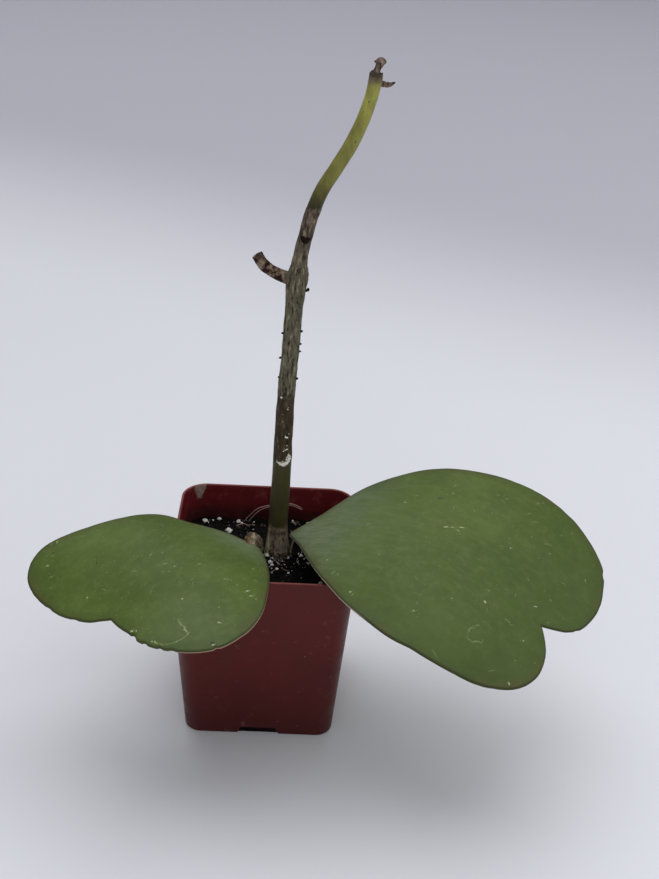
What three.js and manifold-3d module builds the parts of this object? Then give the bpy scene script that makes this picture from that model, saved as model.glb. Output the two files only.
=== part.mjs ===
// A potted hoya: a bare woody stem and two heart-shaped leaves in a small square nursery pot.
// Millimetres, +Z up. The origin is on the floor under the middle of the pot. The pot's front
// faces -Y, and +X is to the right.

import * as THREE from "three";
import { mergeVertices } from "three/addons/utils/BufferGeometryUtils.js";
import Module from "manifold-3d";

const wasm = await Module();
wasm.setup();

// Pot
const POT_TOP_HALF = 38.0;
const POT_BASE_HALF = 31.6;
const POT_HEIGHT = 82.7;
const POT_TOP_CORNER = 11.2;
const POT_BASE_CORNER = 7.2;
const POT_WALL = 1.1;
const POT_FLOOR = 1.8;
const POT_FOOT_ROUND = 1.4;
const POT_INSIDE_ROUND = 0.7;
const RIM_ROUND = 0.3;
const DRAIN_FOOT_HALF = 9.0;
const DRAIN_ROOF_HALF = 7.25;
const DRAIN_HEIGHT = 2.6;
const DRAIN_LENGTH = 16.0;
const DRAIN_HOLE_RADIUS = 3.0;
const DRAIN_HOLE_INSET = 11.0;
const CORNER_STEPS = 6;
const CUT_BEYOND = 2.0;

// Soil
const GAP = 0.3;
const SOIL_LEVEL = 66.6;
const SOIL_RINGS = 9;
const SOIL_SIDE_STEPS = 6;
const SOIL_WAVE = 0.5;
const SOIL_RIPPLE = 0.35;
const SOIL_MOUND = 0.9;
const SEED = 7;
const SCATTERED_GRAINS = 24;
const SCATTERED_CRUMBS = 26;
const GRAIN_LIFT = 0.05;
const CRUMB_LIFT = -0.3;
const HOLE_CLEARANCE = 0.35;

// Stem, side arm and tip. Every point is [x, y, z, radius].
const BAR_SIDES = 14;
const THIN_BAR_SIDES = 9;
const STEM_STEPS = 46;
const ARM_STEPS = 14;
const TIP_STEPS = 6;
const STALK_STEPS = 20;
const STEM_FOOT_DEPTH = 36.0;
const STEM_LINE = [
  [4.9, 8.0, SOIL_LEVEL - STEM_FOOT_DEPTH, 4.4],
  [4.9, 8.0, 60.0, 4.8],
  [4.9, 8.0, 67.5, 4.75],
  [4.9, 8.1, 75.0, 4.2],
  [5.0, 8.2, 88.0, 4.0],
  [5.5, 8.4, 102.0, 3.95],
  [5.9, 8.6, 126.0, 3.7],
  [6.3, 8.7, 144.0, 3.5],
  [7.3, 8.5, 162.0, 3.5],
  [8.0, 8.3, 180.0, 3.5],
  [8.5, 8.1, 189.0, 3.85],
  [9.2, 8.0, 195.5, 3.9],
  [9.6, 8.0, 200.5, 3.0],
  [10.7, 8.0, 207.5, 2.75],
  [13.5, 7.9, 220.0, 2.75],
  [16.9, 7.8, 229.4, 2.7],
  [21.7, 7.7, 238.0, 2.65],
  [26.4, 7.8, 246.5, 2.6],
  [30.1, 7.9, 255.3, 2.5],
  [32.9, 8.0, 264.4, 2.45],
  [33.8, 8.0, 269.0, 2.5],
  [34.2, 8.0, 272.4, 2.55],
];
const ARM_LINE = [
  [8.4, 8.1, 193.0, 2.5],
  [5.6, 8.0, 193.6, 2.6],
  [2.1, 8.0, 194.8, 2.3],
  [-1.8, 8.0, 196.7, 2.15],
  [-4.8, 8.0, 199.3, 2.15],
  [-6.8, 8.0, 202.4, 2.2],
];
const DRY_NECK_LINE = [
  [33.3, 8.0, 270.5, 1.5],
  [34.0, 8.0, 273.2, 1.3],
  [34.8, 8.0, 275.4, 1.25],
  [35.5, 8.0, 277.0, 1.4],
];
const DRY_HEAD = { at: [35.9, 8.0, 277.8], radius: 1.9 };
const DRY_BRACT_LINE = [
  [34.2, 7.9, 270.9, 0.7],
  [36.9, 7.7, 270.1, 0.85],
  [39.2, 7.5, 269.7, 0.7],
  [41.0, 7.4, 270.6, 0.35],
];
// Root nubs: [height, direction round the stem in degrees from +X, size].
const NUBS = [
  [188.6, 5, 1.0],
  [171.6, -10, 0.8],
  [165.9, -5, 0.7],
  [162.5, 0, 0.7],
  [150.9, -15, 0.8],
  [170.4, 190, 0.7],
  [159.5, 185, 0.8],
  [151.1, 195, 0.7],
];

// Leaves. A blade is drawn flat in its own plane, from the base at (0, 0) to the notch at the far
// end, and is then laid over an arched, tilted surface. turn is the compass direction of the
// midrib, rise and roll are its slope and sideways tilt in degrees at the base and at the tip,
// and cup is the sag of the margins in mm at 10 mm from the midrib.
const LEAF_HALF_THICKNESS = 1.35;
const MARGIN_HALF_THICKNESS = 0.65;
const MARGIN_STEPS = 28;
const MIDRIB_STEPS = 40;
const BLADE_RINGS = [0.3, 0.58, 0.8, 0.93, 0.985];
const RIGHT_LEAF = {
  base: [12.5, 2.6, 80.0],
  turn: -26,
  rise: [22, -28],
  roll: [6, 9],
  cup: [-0.04, -0.06],
  length: 115,
  middle: [68, 5],
  farEdge: [
    [-0.5, 1], [6.5, 12.5], [18, 35.3], [32.5, 47.5], [46, 55], [60, 59.5], [73.5, 63],
    [89, 64.5], [106.5, 61], [123.5, 50], [130, 36], [132, 25], [130.5, 13], [126.5, 6],
    [121.5, 2], [116, -1.5],
  ],
  nearEdge: [
    [-0.5, 1], [6, -8.8], [23, -26.9], [37.3, -38.6], [48.5, -45], [66, -50.5], [80, -50.5],
    [93.5, -49], [107, -45.3], [116, -39.5], [122, -33], [125, -25], [125, -18], [123, -11],
    [119.5, -5.5], [116, -1.5],
  ],
};
const LEFT_LEAF = {
  base: [-5.4, -6.9, 80.0],
  turn: 225,
  rise: [26, -28],
  roll: [-2, -7],
  cup: [-0.02, -0.02],
  length: 80,
  middle: [45, 1],
  farEdge: [
    [0, 0], [4.5, -8], [10, -13], [20, -20], [26, -27], [34.5, -31.5], [43.5, -34.7],
    [54.5, -38.9], [69.5, -45], [78.5, -45], [85.3, -41], [89, -34.5], [90.3, -26],
    [89.6, -15.5], [85.6, -5], [82, -0.5], [79, 3],
  ],
  nearEdge: [
    [0, 0], [-0.5, 4.5], [6, 14.5], [17.5, 28.5], [30, 40], [39, 46.3], [48.5, 49],
    [58.5, 47.4], [66, 42.7], [72.3, 34.8], [77, 25.5], [79, 18.5], [79, 12.5], [79.3, 7.5],
    [79, 3],
  ],
};
// Leaf stalks: [x, y, z, radius] from below the soil up to the underside of the blade's base.
const RIGHT_STALK_LINE = [
  [12.3, 8.1, 48.0, 1.7],
  [12.3, 8.1, 68.0, 1.7],
  [12.3, 7.3, 72.0, 1.7],
  [12.7, 5.2, 76.0, 1.8],
  [14.0, 2.2, 79.6, 1.9],
  [17.5, 0.2, 81.6, 1.5],
  [21.5, -1.8, 83.1, 0.9],
];
const LEFT_STALK_LINE = [
  [-3.4, 8.6, 48.0, 2.3],
  [-3.4, 8.6, 68.0, 2.5],
  [-4.0, 8.3, 71.5, 2.6],
  [-5.8, 5.8, 74.8, 2.7],
  [-6.3, 0.6, 77.2, 2.5],
  [-6.2, -5.2, 79.4, 2.1],
  [-9.0, -10.4, 82.1, 1.5],
  [-12.2, -13.6, 84.1, 0.9],
];

// White grains that stand out on the soil: [x, y, radius].
const PLACED_GRAINS = [
  [-12.7, 31.5, 1.4],
  [-17.0, 23.0, 1.6],
  [-28.0, 29.8, 1.3],
  [-21.0, 33.5, 1.1],
  [1.4, 2.0, 1.3],
  [5.4, -5.3, 1.0],
  [10.1, -8.2, 0.8],
  [18.2, 33.5, 1.2],
  [11.0, 33.0, 0.9],
  [17.5, 3.9, 0.9],
  [18.5, -0.7, 0.9],
  [24.0, -13.1, 1.2],
  [14.3, -12.3, 0.8],
  [8.6, -0.4, 0.9],
];

// Turns a closed geometry into a solid that can be joined and cut.
function solidOf(geometry) {
  const bare = geometry.index ? geometry.toNonIndexed() : geometry.clone();
  bare.deleteAttribute("normal");
  bare.deleteAttribute("uv");
  const merged = mergeVertices(bare, 1e-4);
  return new wasm.Manifold(
    new wasm.Mesh({
      numProp: 3,
      vertProperties: new Float32Array(merged.attributes.position.array),
      triVerts: new Uint32Array(merged.index.array),
    }),
  );
}

// Turns a solid back into a geometry.
function geometryOf(solid) {
  const mesh = solid.getMesh();
  const geometry = new THREE.BufferGeometry();
  geometry.setAttribute("position", new THREE.BufferAttribute(mesh.vertProperties, 3));
  geometry.setIndex(new THREE.BufferAttribute(mesh.triVerts, 1));
  geometry.computeVertexNormals();
  return geometry;
}

// A repeatable random number between 0 and 1.
function randomFrom(seed) {
  let state = seed;
  return () => {
    state = (state * 1664525 + 1013904223) % 4294967296;
    return state / 4294967296;
  };
}

// Joins rings of points, each with as many points as the next and running anticlockwise seen
// from the last ring's side, into one closed skin with a point in the middle of each end.
function skin(rings, firstMiddle, lastMiddle) {
  const positions = [];
  const faces = [];
  const count = rings[0].length;
  for (const ring of rings) {
    for (const point of ring) positions.push(point.x, point.y, point.z);
  }
  for (let r = 0; r + 1 < rings.length; r++) {
    for (let i = 0; i < count; i++) {
      const a = r * count + i;
      const b = r * count + ((i + 1) % count);
      faces.push(a, b, b + count, a, b + count, a + count);
    }
  }
  const first = positions.length / 3;
  positions.push(firstMiddle.x, firstMiddle.y, firstMiddle.z);
  positions.push(lastMiddle.x, lastMiddle.y, lastMiddle.z);
  const top = (rings.length - 1) * count;
  for (let i = 0; i < count; i++) {
    const next = (i + 1) % count;
    faces.push(first, next, i);
    faces.push(first + 1, top + i, top + next);
  }
  const geometry = new THREE.BufferGeometry();
  geometry.setAttribute("position", new THREE.Float32BufferAttribute(positions, 3));
  geometry.setIndex(faces);
  return geometry;
}

// A square with round corners at height z, as a ring of points, with each straight side in
// sideSteps parts.
function roundedSquare(half, corner, z, sideSteps) {
  const ring = [];
  const turned = (x, y, quarter) => {
    const point = new THREE.Vector2(x, y).rotateAround(new THREE.Vector2(), (quarter * Math.PI) / 2);
    ring.push(new THREE.Vector3(point.x, point.y, z));
  };
  const straight = half - corner;
  for (let quarter = 0; quarter < 4; quarter++) {
    for (let step = 0; step <= CORNER_STEPS; step++) {
      const angle = ((step / CORNER_STEPS) * Math.PI) / 2;
      turned(straight + corner * Math.cos(angle), straight + corner * Math.sin(angle), quarter);
    }
    for (let step = 1; step < sideSteps; step++) {
      turned(straight * (1 - (2 * step) / sideSteps), half, quarter);
    }
  }
  return ring;
}

// The pot's tapered section at height z, drawn in by inset all round.
function potSection(z, inset, sideSteps = 1) {
  const share = z / POT_HEIGHT;
  const half = THREE.MathUtils.lerp(POT_BASE_HALF, POT_TOP_HALF, share) - inset;
  const corner = THREE.MathUtils.lerp(POT_BASE_CORNER, POT_TOP_CORNER, share) - inset;
  return roundedSquare(half, corner, z, sideSteps);
}

// A tapered block of potSection rings, from [z, inset] pairs.
function potBlock(levels) {
  const rings = levels.map(([z, inset]) => potSection(z, inset));
  const low = new THREE.Vector3(0, 0, levels[0][0]);
  const high = new THREE.Vector3(0, 0, levels[levels.length - 1][0]);
  return solidOf(skin(rings, low, high));
}

// A drain channel's cross-section, grown by margin, run inwards from the middle of one side.
function drainBlock(quarter, margin, low) {
  const outline = new THREE.Shape();
  const slope = (DRAIN_FOOT_HALF - DRAIN_ROOF_HALF) / DRAIN_HEIGHT;
  const footHalf = DRAIN_FOOT_HALF + margin - slope * low;
  const roofHalf = DRAIN_ROOF_HALF + margin - slope * margin;
  outline.moveTo(-footHalf, low);
  outline.lineTo(footHalf, low);
  outline.lineTo(roofHalf, DRAIN_HEIGHT + margin);
  outline.lineTo(-roofHalf, DRAIN_HEIGHT + margin);
  outline.closePath();
  const reach = DRAIN_LENGTH + margin;
  const depth = reach + CUT_BEYOND;
  const block = new THREE.ExtrudeGeometry(outline, { depth, bevelEnabled: false });
  block.rotateX(Math.PI / 2);
  block.translate(0, reach - POT_BASE_HALF, 0);
  block.rotateZ((quarter * Math.PI) / 2);
  return solidOf(block);
}

function drainHole(quarter) {
  const depth = 2 * (DRAIN_HEIGHT + CUT_BEYOND);
  const hole = new THREE.CylinderGeometry(DRAIN_HOLE_RADIUS, DRAIN_HOLE_RADIUS, depth, BAR_SIDES);
  hole.rotateX(Math.PI / 2);
  hole.translate(0, DRAIN_HOLE_INSET - POT_BASE_HALF, 0);
  hole.rotateZ((quarter * Math.PI) / 2);
  return solidOf(hole);
}

function makePot() {
  let pot = potBlock([
    [0, POT_FOOT_ROUND],
    [0.3 * POT_FOOT_ROUND, 0.35 * POT_FOOT_ROUND],
    [POT_FOOT_ROUND, 0],
    [POT_HEIGHT / 2, 0],
    [POT_HEIGHT - RIM_ROUND, 0],
    [POT_HEIGHT, RIM_ROUND],
  ]);
  let inside = potBlock([
    [POT_FLOOR, POT_WALL + POT_INSIDE_ROUND],
    [POT_FLOOR + POT_INSIDE_ROUND, POT_WALL],
    [POT_HEIGHT - RIM_ROUND, POT_WALL],
    [POT_HEIGHT + CUT_BEYOND, POT_WALL - RIM_ROUND],
  ]);
  for (let quarter = 0; quarter < 4; quarter++) {
    inside = inside.subtract(drainBlock(quarter, POT_WALL, 0));
  }
  pot = pot.subtract(inside);
  for (let quarter = 0; quarter < 4; quarter++) {
    pot = pot.subtract(drainBlock(quarter, 0, -CUT_BEYOND)).subtract(drainHole(quarter));
  }
  return geometryOf(pot);
}

// A round bar of changing radius along a smooth line through [x, y, z, radius] points.
function taperedBar(line, steps, sides) {
  const points = line.map(([x, y, z]) => new THREE.Vector3(x, y, z));
  const curve = new THREE.CatmullRomCurve3(points, false, "centripetal");
  const frames = curve.computeFrenetFrames(steps, false);
  const rings = [];
  for (let s = 0; s <= steps; s++) {
    const t = curve.getUtoTmapping(s / steps);
    const at = t * (line.length - 1);
    const k = Math.min(Math.floor(at), line.length - 2);
    const radius = THREE.MathUtils.lerp(line[k][3], line[k + 1][3], at - k);
    const middle = curve.getPoint(t);
    const ring = [];
    for (let i = 0; i < sides; i++) {
      const angle = (i / sides) * 2 * Math.PI;
      const point = middle.clone();
      point.addScaledVector(frames.normals[s], radius * Math.cos(angle));
      point.addScaledVector(frames.binormals[s], radius * Math.sin(angle));
      ring.push(point);
    }
    rings.push(ring);
  }
  return solidOf(skin(rings, curve.getPoint(0), curve.getPoint(1)));
}

// A few-sided lump, stretched and turned, at a place.
function lump(x, y, z, radius, stretch, turn) {
  const geometry = new THREE.IcosahedronGeometry(radius, 0);
  geometry.scale(1, stretch, 0.8);
  geometry.rotateZ(turn);
  geometry.translate(x, y, z);
  return solidOf(geometry);
}

// The uneven top of the soil.
function soilHeight(x, y) {
  const [stemX, stemY] = STEM_LINE[0];
  const wave = SOIL_WAVE * Math.sin(0.31 * x + 0.8) * Math.cos(0.27 * y);
  const ripple = SOIL_RIPPLE * Math.sin(0.53 * y - 0.4 * x);
  const mound = SOIL_MOUND * Math.exp(-((x - stemX) ** 2 + (y - stemY) ** 2) / 160);
  return SOIL_LEVEL + wave + ripple + mound;
}

// The soil's block is cut by the holes that the stem and the leaf stalks stand in.
function makeSoil() {
  const wallInset = POT_WALL + GAP;
  const edge = potSection(SOIL_LEVEL, wallInset, SOIL_SIDE_STEPS);
  const rings = [
    potSection(POT_FLOOR + GAP, wallInset + POT_INSIDE_ROUND, SOIL_SIDE_STEPS),
    potSection(POT_FLOOR + GAP + POT_INSIDE_ROUND, wallInset, SOIL_SIDE_STEPS),
  ];
  for (let r = 0; r < SOIL_RINGS; r++) {
    const share = 1 - r / SOIL_RINGS;
    rings.push(
      edge.map(({ x, y }) => new THREE.Vector3(x * share, y * share, soilHeight(x * share, y * share))),
    );
  }
  const low = new THREE.Vector3(0, 0, POT_FLOOR + GAP);
  const high = new THREE.Vector3(0, 0, soilHeight(0, 0));
  let soil = solidOf(skin(rings, low, high));
  for (let quarter = 0; quarter < 4; quarter++) {
    soil = soil.subtract(drainBlock(quarter, POT_WALL + GAP, 0));
  }
  for (const grain of soilGrains()) soil = soil.add(grain);
  for (const line of [STEM_LINE, LEFT_STALK_LINE, RIGHT_STALK_LINE]) {
    const [x, y, foot] = line[0];
    const radius = line[1][3] + HOLE_CLEARANCE;
    const hole = [[x, y, foot - GAP, radius], [x, y, POT_HEIGHT, radius]];
    soil = soil.subtract(taperedBar(hole, 1, BAR_SIDES));
  }
  return geometryOf(soil);
}

// White grains where they show, and more grains and dark crumbs scattered between them.
function soilGrains() {
  const random = randomFrom(SEED);
  const grains = PLACED_GRAINS.map(([x, y, radius]) =>
    lump(x, y, soilHeight(x, y) + GRAIN_LIFT * radius, radius, 0.85, x + y),
  );
  const reach = POT_TOP_HALF - 8;
  for (let i = 0; i < SCATTERED_GRAINS + SCATTERED_CRUMBS; i++) {
    const x = (2 * random() - 1) * reach;
    const y = (2 * random() - 1) * reach;
    const radius = i < SCATTERED_GRAINS ? 0.5 + 0.5 * random() : 1.0 + 0.9 * random();
    const lift = i < SCATTERED_GRAINS ? GRAIN_LIFT : CRUMB_LIFT;
    const clear = [STEM_LINE[2], LEFT_STALK_LINE[1], RIGHT_STALK_LINE[1]].every(
      ([sx, sy, , sr]) => Math.hypot(x - sx, y - sy) > sr + radius + 0.8,
    );
    const turn = Math.PI * random();
    if (clear) grains.push(lump(x, y, soilHeight(x, y) + lift * radius, radius, 0.8, turn));
  }
  return grains;
}

// The stem is one grown piece with its cut side arm, root nubs, dry tip and dry bract.
function makeStem() {
  let stem = taperedBar(STEM_LINE, STEM_STEPS, BAR_SIDES);
  stem = stem.add(taperedBar(ARM_LINE, ARM_STEPS, THIN_BAR_SIDES));
  stem = stem.add(taperedBar(DRY_NECK_LINE, TIP_STEPS, THIN_BAR_SIDES));
  stem = stem.add(taperedBar(DRY_BRACT_LINE, TIP_STEPS, THIN_BAR_SIDES));
  const head = new THREE.IcosahedronGeometry(DRY_HEAD.radius, 1);
  head.scale(1.05, 0.9, 0.85);
  head.translate(...DRY_HEAD.at);
  stem = stem.add(solidOf(head));
  for (const [height, direction, size] of NUBS) {
    const k = STEM_LINE.findIndex((point) => point[2] > height);
    const [low, high] = [STEM_LINE[k - 1], STEM_LINE[k]];
    const share = (height - low[2]) / (high[2] - low[2]);
    const [x, y, , radius] = low.map((value, i) => THREE.MathUtils.lerp(value, high[i], share));
    const angle = THREE.MathUtils.degToRad(direction);
    const out = radius + 0.25 * size;
    stem = stem.add(lump(x + out * Math.cos(angle), y + out * Math.sin(angle), height, size, 0.9, angle));
  }
  return geometryOf(stem);
}

// A value that eases from the first to the second of a pair over the leaf's length.
function eased(pair, leaf, u) {
  return THREE.MathUtils.lerp(pair[0], pair[1], THREE.MathUtils.smoothstep(u, 0, leaf.length));
}

// The point of a leaf at u along the midrib, v across it and h above the middle surface.
function leafPoint(leaf, u, v, h) {
  const turn = THREE.MathUtils.degToRad(leaf.turn);
  const along = new THREE.Vector3(Math.cos(turn), Math.sin(turn), 0);
  const across = new THREE.Vector3(-Math.sin(turn), Math.cos(turn), 0);
  const up = new THREE.Vector3(0, 0, 1);
  const point = new THREE.Vector3(...leaf.base);
  const step = u / MIDRIB_STEPS;
  for (let i = 0; i < MIDRIB_STEPS; i++) {
    const slope = THREE.MathUtils.degToRad(eased(leaf.rise, leaf, (i + 0.5) * step));
    point.addScaledVector(along, Math.cos(slope) * step);
    point.addScaledVector(up, Math.sin(slope) * step);
  }
  const rise = THREE.MathUtils.degToRad(eased(leaf.rise, leaf, u));
  const roll = THREE.MathUtils.degToRad(eased(leaf.roll, leaf, u));
  const upright = along.clone().multiplyScalar(-Math.sin(rise)).addScaledVector(up, Math.cos(rise));
  const sideways = across.clone().multiplyScalar(Math.cos(roll)).addScaledVector(upright, Math.sin(roll));
  const normal = upright.clone().multiplyScalar(Math.cos(roll)).addScaledVector(across, -Math.sin(roll));
  const sag = (eased(leaf.cup, leaf, u) * v * v) / 100;
  return point.addScaledVector(sideways, v).addScaledVector(normal, sag + h);
}

// The blade's outline, from the base along the near edge to the notch and back by the far edge.
function leafOutline(leaf) {
  const curves = [leaf.nearEdge, leaf.farEdge].map(
    (edge) => new THREE.SplineCurve(edge.map(([u, v]) => new THREE.Vector2(u, v))),
  );
  const near = curves[0].getSpacedPoints(MARGIN_STEPS);
  const far = curves[1].getSpacedPoints(MARGIN_STEPS).reverse();
  const outline = [...near.slice(0, -1), ...far.slice(0, -1)];
  return THREE.ShapeUtils.area(outline) > 0 ? outline : outline.reverse();
}

// A thick blade with a round margin, drawn as rings that run down over the edge.
function makeBlade(leaf) {
  const outline = leafOutline(leaf);
  const middle = new THREE.Vector2(...leaf.middle);
  const swell = LEAF_HALF_THICKNESS - MARGIN_HALF_THICKNESS;
  const levels = BLADE_RINGS.map((share) => [share, MARGIN_HALF_THICKNESS + swell * (1 - share ** 2)]);
  const under = levels.map(([share, h]) => [share, -h]);
  const rings = [...under, [1, 0], ...levels.reverse()].map(([share, h]) =>
    outline.map((point) => {
      const at = middle.clone().lerp(point, share);
      return leafPoint(leaf, at.x, at.y, h);
    }),
  );
  const low = leafPoint(leaf, middle.x, middle.y, -LEAF_HALF_THICKNESS);
  const high = leafPoint(leaf, middle.x, middle.y, LEAF_HALF_THICKNESS);
  return solidOf(skin(rings, low, high));
}

function makeLeaf(leaf, stalkLine) {
  return geometryOf(makeBlade(leaf).add(taperedBar(stalkLine, STALK_STEPS, THIN_BAR_SIDES)));
}

// Sub-parts, each with its own material.
function addPart(group, name, geometry, colour, roughness) {
  const material = new THREE.MeshStandardMaterial({ color: colour, roughness, metalness: 0 });
  const mesh = new THREE.Mesh(geometry, material);
  mesh.name = name;
  group.add(mesh);
}

const plant = new THREE.Group();
addPart(plant, "pot", makePot(), 0x5a201d, 0.45);
addPart(plant, "soil", makeSoil(), 0x17130f, 0.95);
addPart(plant, "stem", makeStem(), 0x54503a, 0.8);
addPart(plant, "leaf_left", makeLeaf(LEFT_LEAF, LEFT_STALK_LINE), 0x55653a, 0.5);
addPart(plant, "leaf_right", makeLeaf(RIGHT_LEAF, RIGHT_STALK_LINE), 0x586a3c, 0.5);

export default plant;
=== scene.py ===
# A potted hoya: a woody stem and two heart-shaped leaves in a small square nursery pot.
# Lengths named here are in millimetres and every mesh is made in metres. The pot stands on the
# floor at the origin, its front faces -Y and +X is to the right.

import math
import random

import bmesh
import bpy
import numpy as np
from mathutils import Matrix, Vector, noise


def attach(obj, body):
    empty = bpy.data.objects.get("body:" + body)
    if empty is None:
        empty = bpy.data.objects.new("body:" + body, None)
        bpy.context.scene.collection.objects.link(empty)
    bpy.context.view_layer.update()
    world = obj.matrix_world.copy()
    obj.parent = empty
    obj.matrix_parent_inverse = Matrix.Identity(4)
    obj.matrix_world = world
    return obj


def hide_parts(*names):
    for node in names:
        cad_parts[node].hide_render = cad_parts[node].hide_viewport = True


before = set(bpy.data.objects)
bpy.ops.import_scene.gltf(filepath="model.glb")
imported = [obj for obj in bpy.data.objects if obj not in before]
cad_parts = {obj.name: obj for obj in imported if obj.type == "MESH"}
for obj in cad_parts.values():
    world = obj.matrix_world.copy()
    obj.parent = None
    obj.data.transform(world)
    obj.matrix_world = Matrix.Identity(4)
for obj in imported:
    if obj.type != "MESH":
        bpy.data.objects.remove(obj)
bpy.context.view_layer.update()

MM = 0.001
SEED = 7
CURVE_STEPS = 40

# Pot
POT_TOP_HALF = 38.0
POT_BASE_HALF = 31.6
POT_HEIGHT = 82.7
POT_TOP_CORNER = 11.2
POT_BASE_CORNER = 7.2
POT_WALL = 1.1
POT_FOOT_ROUND = 0.7
POT_EDGE_ROUND = 0.22
POT_INSIDE_FLOOR = 4.0
DRAIN_FOOT_HALF = 9.0
DRAIN_ROOF_HALF = 7.25
DRAIN_HEIGHT = 3.5
DRAIN_RIB_INSET = 1.2
DRAIN_LENGTH = 16.0
DRAIN_HOLE_RADIUS = 3.0
DRAIN_HOLE_INSET = 11.0
CORNER_STEPS = 14
SIDE_STEPS = 10
HOLE_SIDES = 32
QUARTERS = [(1, 0), (0, 1), (-1, 0), (0, -1)]

# Where the pot's finish changes, painted shade and highlight among it, from and to, in metres: heights, and
# one X.
DARK_BAND_WALL = (0.0715, 0.0785)
SPLASHED_WALL = (0.066, 0.079)
SHADED_FOOT = (0.0, 0.066)
LIT_RIM = (0.0821, 0.0826)
CRUST_X = -0.0309

# Soil
GAP = 0.3
SOIL_LEVEL = 66.6
SOIL_FOOT = 4.1
SOIL_WAVE = 0.5
SOIL_RIPPLE = 0.35
SOIL_MOUND = 0.9
SOIL_CELLS = 176
SOIL_ROUGHNESS = 0.55
CRUMBS = 520
SMALL_GRAINS = 200
BASE_CHIPS = 110
FOOT_FLAKES = 24
GRAIN_KNOBS = 5
LOOSE_FIBRES = 16

# Stem. Every point is [x, y, z, radius].
STEM_LINE = [
    [4.9, 8.0, 30.6, 4.4], [4.9, 8.0, 60.0, 4.8], [4.9, 8.0, 67.5, 4.75], [4.9, 8.1, 75.0, 4.2],
    [5.0, 8.2, 88.0, 4.0], [5.5, 8.4, 102.0, 3.95], [5.9, 8.6, 126.0, 3.7], [6.3, 8.7, 144.0, 3.5],
    [7.3, 8.5, 162.0, 3.5], [8.0, 8.3, 180.0, 3.5], [8.5, 8.1, 189.0, 3.85], [9.2, 8.0, 195.5, 3.9],
    [9.6, 8.0, 200.5, 3.0], [10.7, 8.0, 207.5, 2.75], [13.5, 7.9, 220.0, 2.75],
    [16.9, 7.8, 229.4, 2.7], [21.7, 7.7, 238.0, 2.65], [26.4, 7.8, 246.5, 2.6],
    [30.1, 7.9, 255.3, 2.5], [32.9, 8.0, 264.4, 2.45], [33.8, 8.0, 269.0, 2.5],
    [34.2, 8.0, 272.4, 2.55],
]
ARM_LINE = [
    [8.4, 8.1, 193.0, 2.5], [5.6, 8.0, 193.6, 2.6], [2.1, 8.0, 194.8, 2.3],
    [-1.8, 8.0, 196.7, 2.15], [-4.8, 8.0, 199.3, 2.15], [-6.8, 8.0, 202.4, 2.2],
]
DRY_NECK_LINE = [
    [33.3, 8.0, 270.5, 1.5], [34.0, 8.0, 273.2, 1.3], [34.8, 8.0, 275.4, 1.25],
    [35.5, 8.0, 277.0, 1.4],
]
DRY_BRACT_LINE = [
    [34.2, 7.9, 270.6, 0.9], [36.6, 7.7, 269.9, 1.25], [39.0, 7.5, 269.7, 1.05],
    [41.2, 7.4, 270.6, 0.3],
]
# A pale dry sheath that runs down the left of the stem's foot.
SHEATH_LINE = [
    [1.0, 5.6, 64.0, 1.7], [1.0, 5.5, 68.0, 1.6], [1.3, 5.5, 71.5, 1.25], [1.6, 5.7, 76.0, 0.8],
    [1.9, 6.0, 81.0, 0.5], [2.2, 6.3, 86.0, 0.25],
]
DRY_HEAD_AT = (35.9, 8.0, 277.8)
# The ragged collar round the dried tip: [radius, height over its middle], which lies a
# little under the stem's end.
COLLAR_SIDES = 48
COLLAR_DROP = 0.2
COLLAR_RINGS = [
    (2.2, -2.6), (2.5, -1.6), (2.45, -0.4), (2.4, 0.6), (2.3, 1.3), (2.05, 1.5), (1.75, 0.8),
    (1.4, -0.2),
]
# Old rings round the stem: [height, depth, half width].
STEM_GROOVES = [
    (199.3, 0.3, 0.45), (197.4, 0.2, 0.35), (194.6, 0.28, 0.5), (186.3, 0.12, 0.5),
]
# A short spur: height, direction in degrees.
SPUR_AT = (189.0, 5)
# Below this height the stem and the stalks are plain rods.
PLAIN_BELOW = 62
# Root nubs: [height, direction round the stem in degrees from +X, size].
NUBS = [
    [188.6, 5, 1.0], [171.6, -10, 0.8], [165.9, -5, 0.7], [162.5, 0, 0.7], [150.9, -15, 0.8],
    [170.4, 190, 0.7], [159.5, 185, 0.8], [151.1, 195, 0.7],
]
# Dried white sap: [height, direction in degrees, size].
SAP_BEADS = [
    [113.4, -122, 0.45], [113.1, -110, 0.6], [112.7, -98, 0.75], [112.3, -86, 0.8],
    [112.4, -74, 0.85], [112.9, -61, 0.85], [113.5, -47, 0.75], [114.5, -34, 0.7],
    [115.6, -38, 0.65], [116.5, -48, 0.6], [115.8, -60, 0.55], [114.9, -66, 0.45],
    [113.9, -84, 0.4], [113.3, -101, 0.6], [113.1, -79, 0.75], [113.6, -68, 0.7],
    [114.3, -54, 0.7], [115.2, -47, 0.5], [119.6, -64, 0.5], [119.2, -76, 0.4], [118.7, -87, 0.3],
    [121.3, -65, 0.4], [125.3, -76, 0.45], [125.0, -66, 0.45], [126.7, -55, 0.35],
    [138.0, -72, 0.35], [143.0, -121, 0.5],
]
# Faint tan dimples in the brown zone: [height, direction in degrees, size].
STEM_DIMPLES = [[135.6, -104, 0.4], [133.8, -91, 0.35], [132.4, -102, 0.4], [129.9, -92, 0.45]]
# Dark scars and dots on the front of the stem: [height, direction in degrees, size].
STEM_SCARS = [
    [211.0, -112, 0.95], [210.2, -98, 1.25], [209.8, -83, 1.3], [210.6, -66, 1.0],
    [126.3, -66, 0.55], [122.3, -64, 0.35],
    [270.6, -62, 0.3], [263.6, -102, 0.32], [259.8, -118, 0.22], [255.6, -78, 0.2],
]
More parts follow.
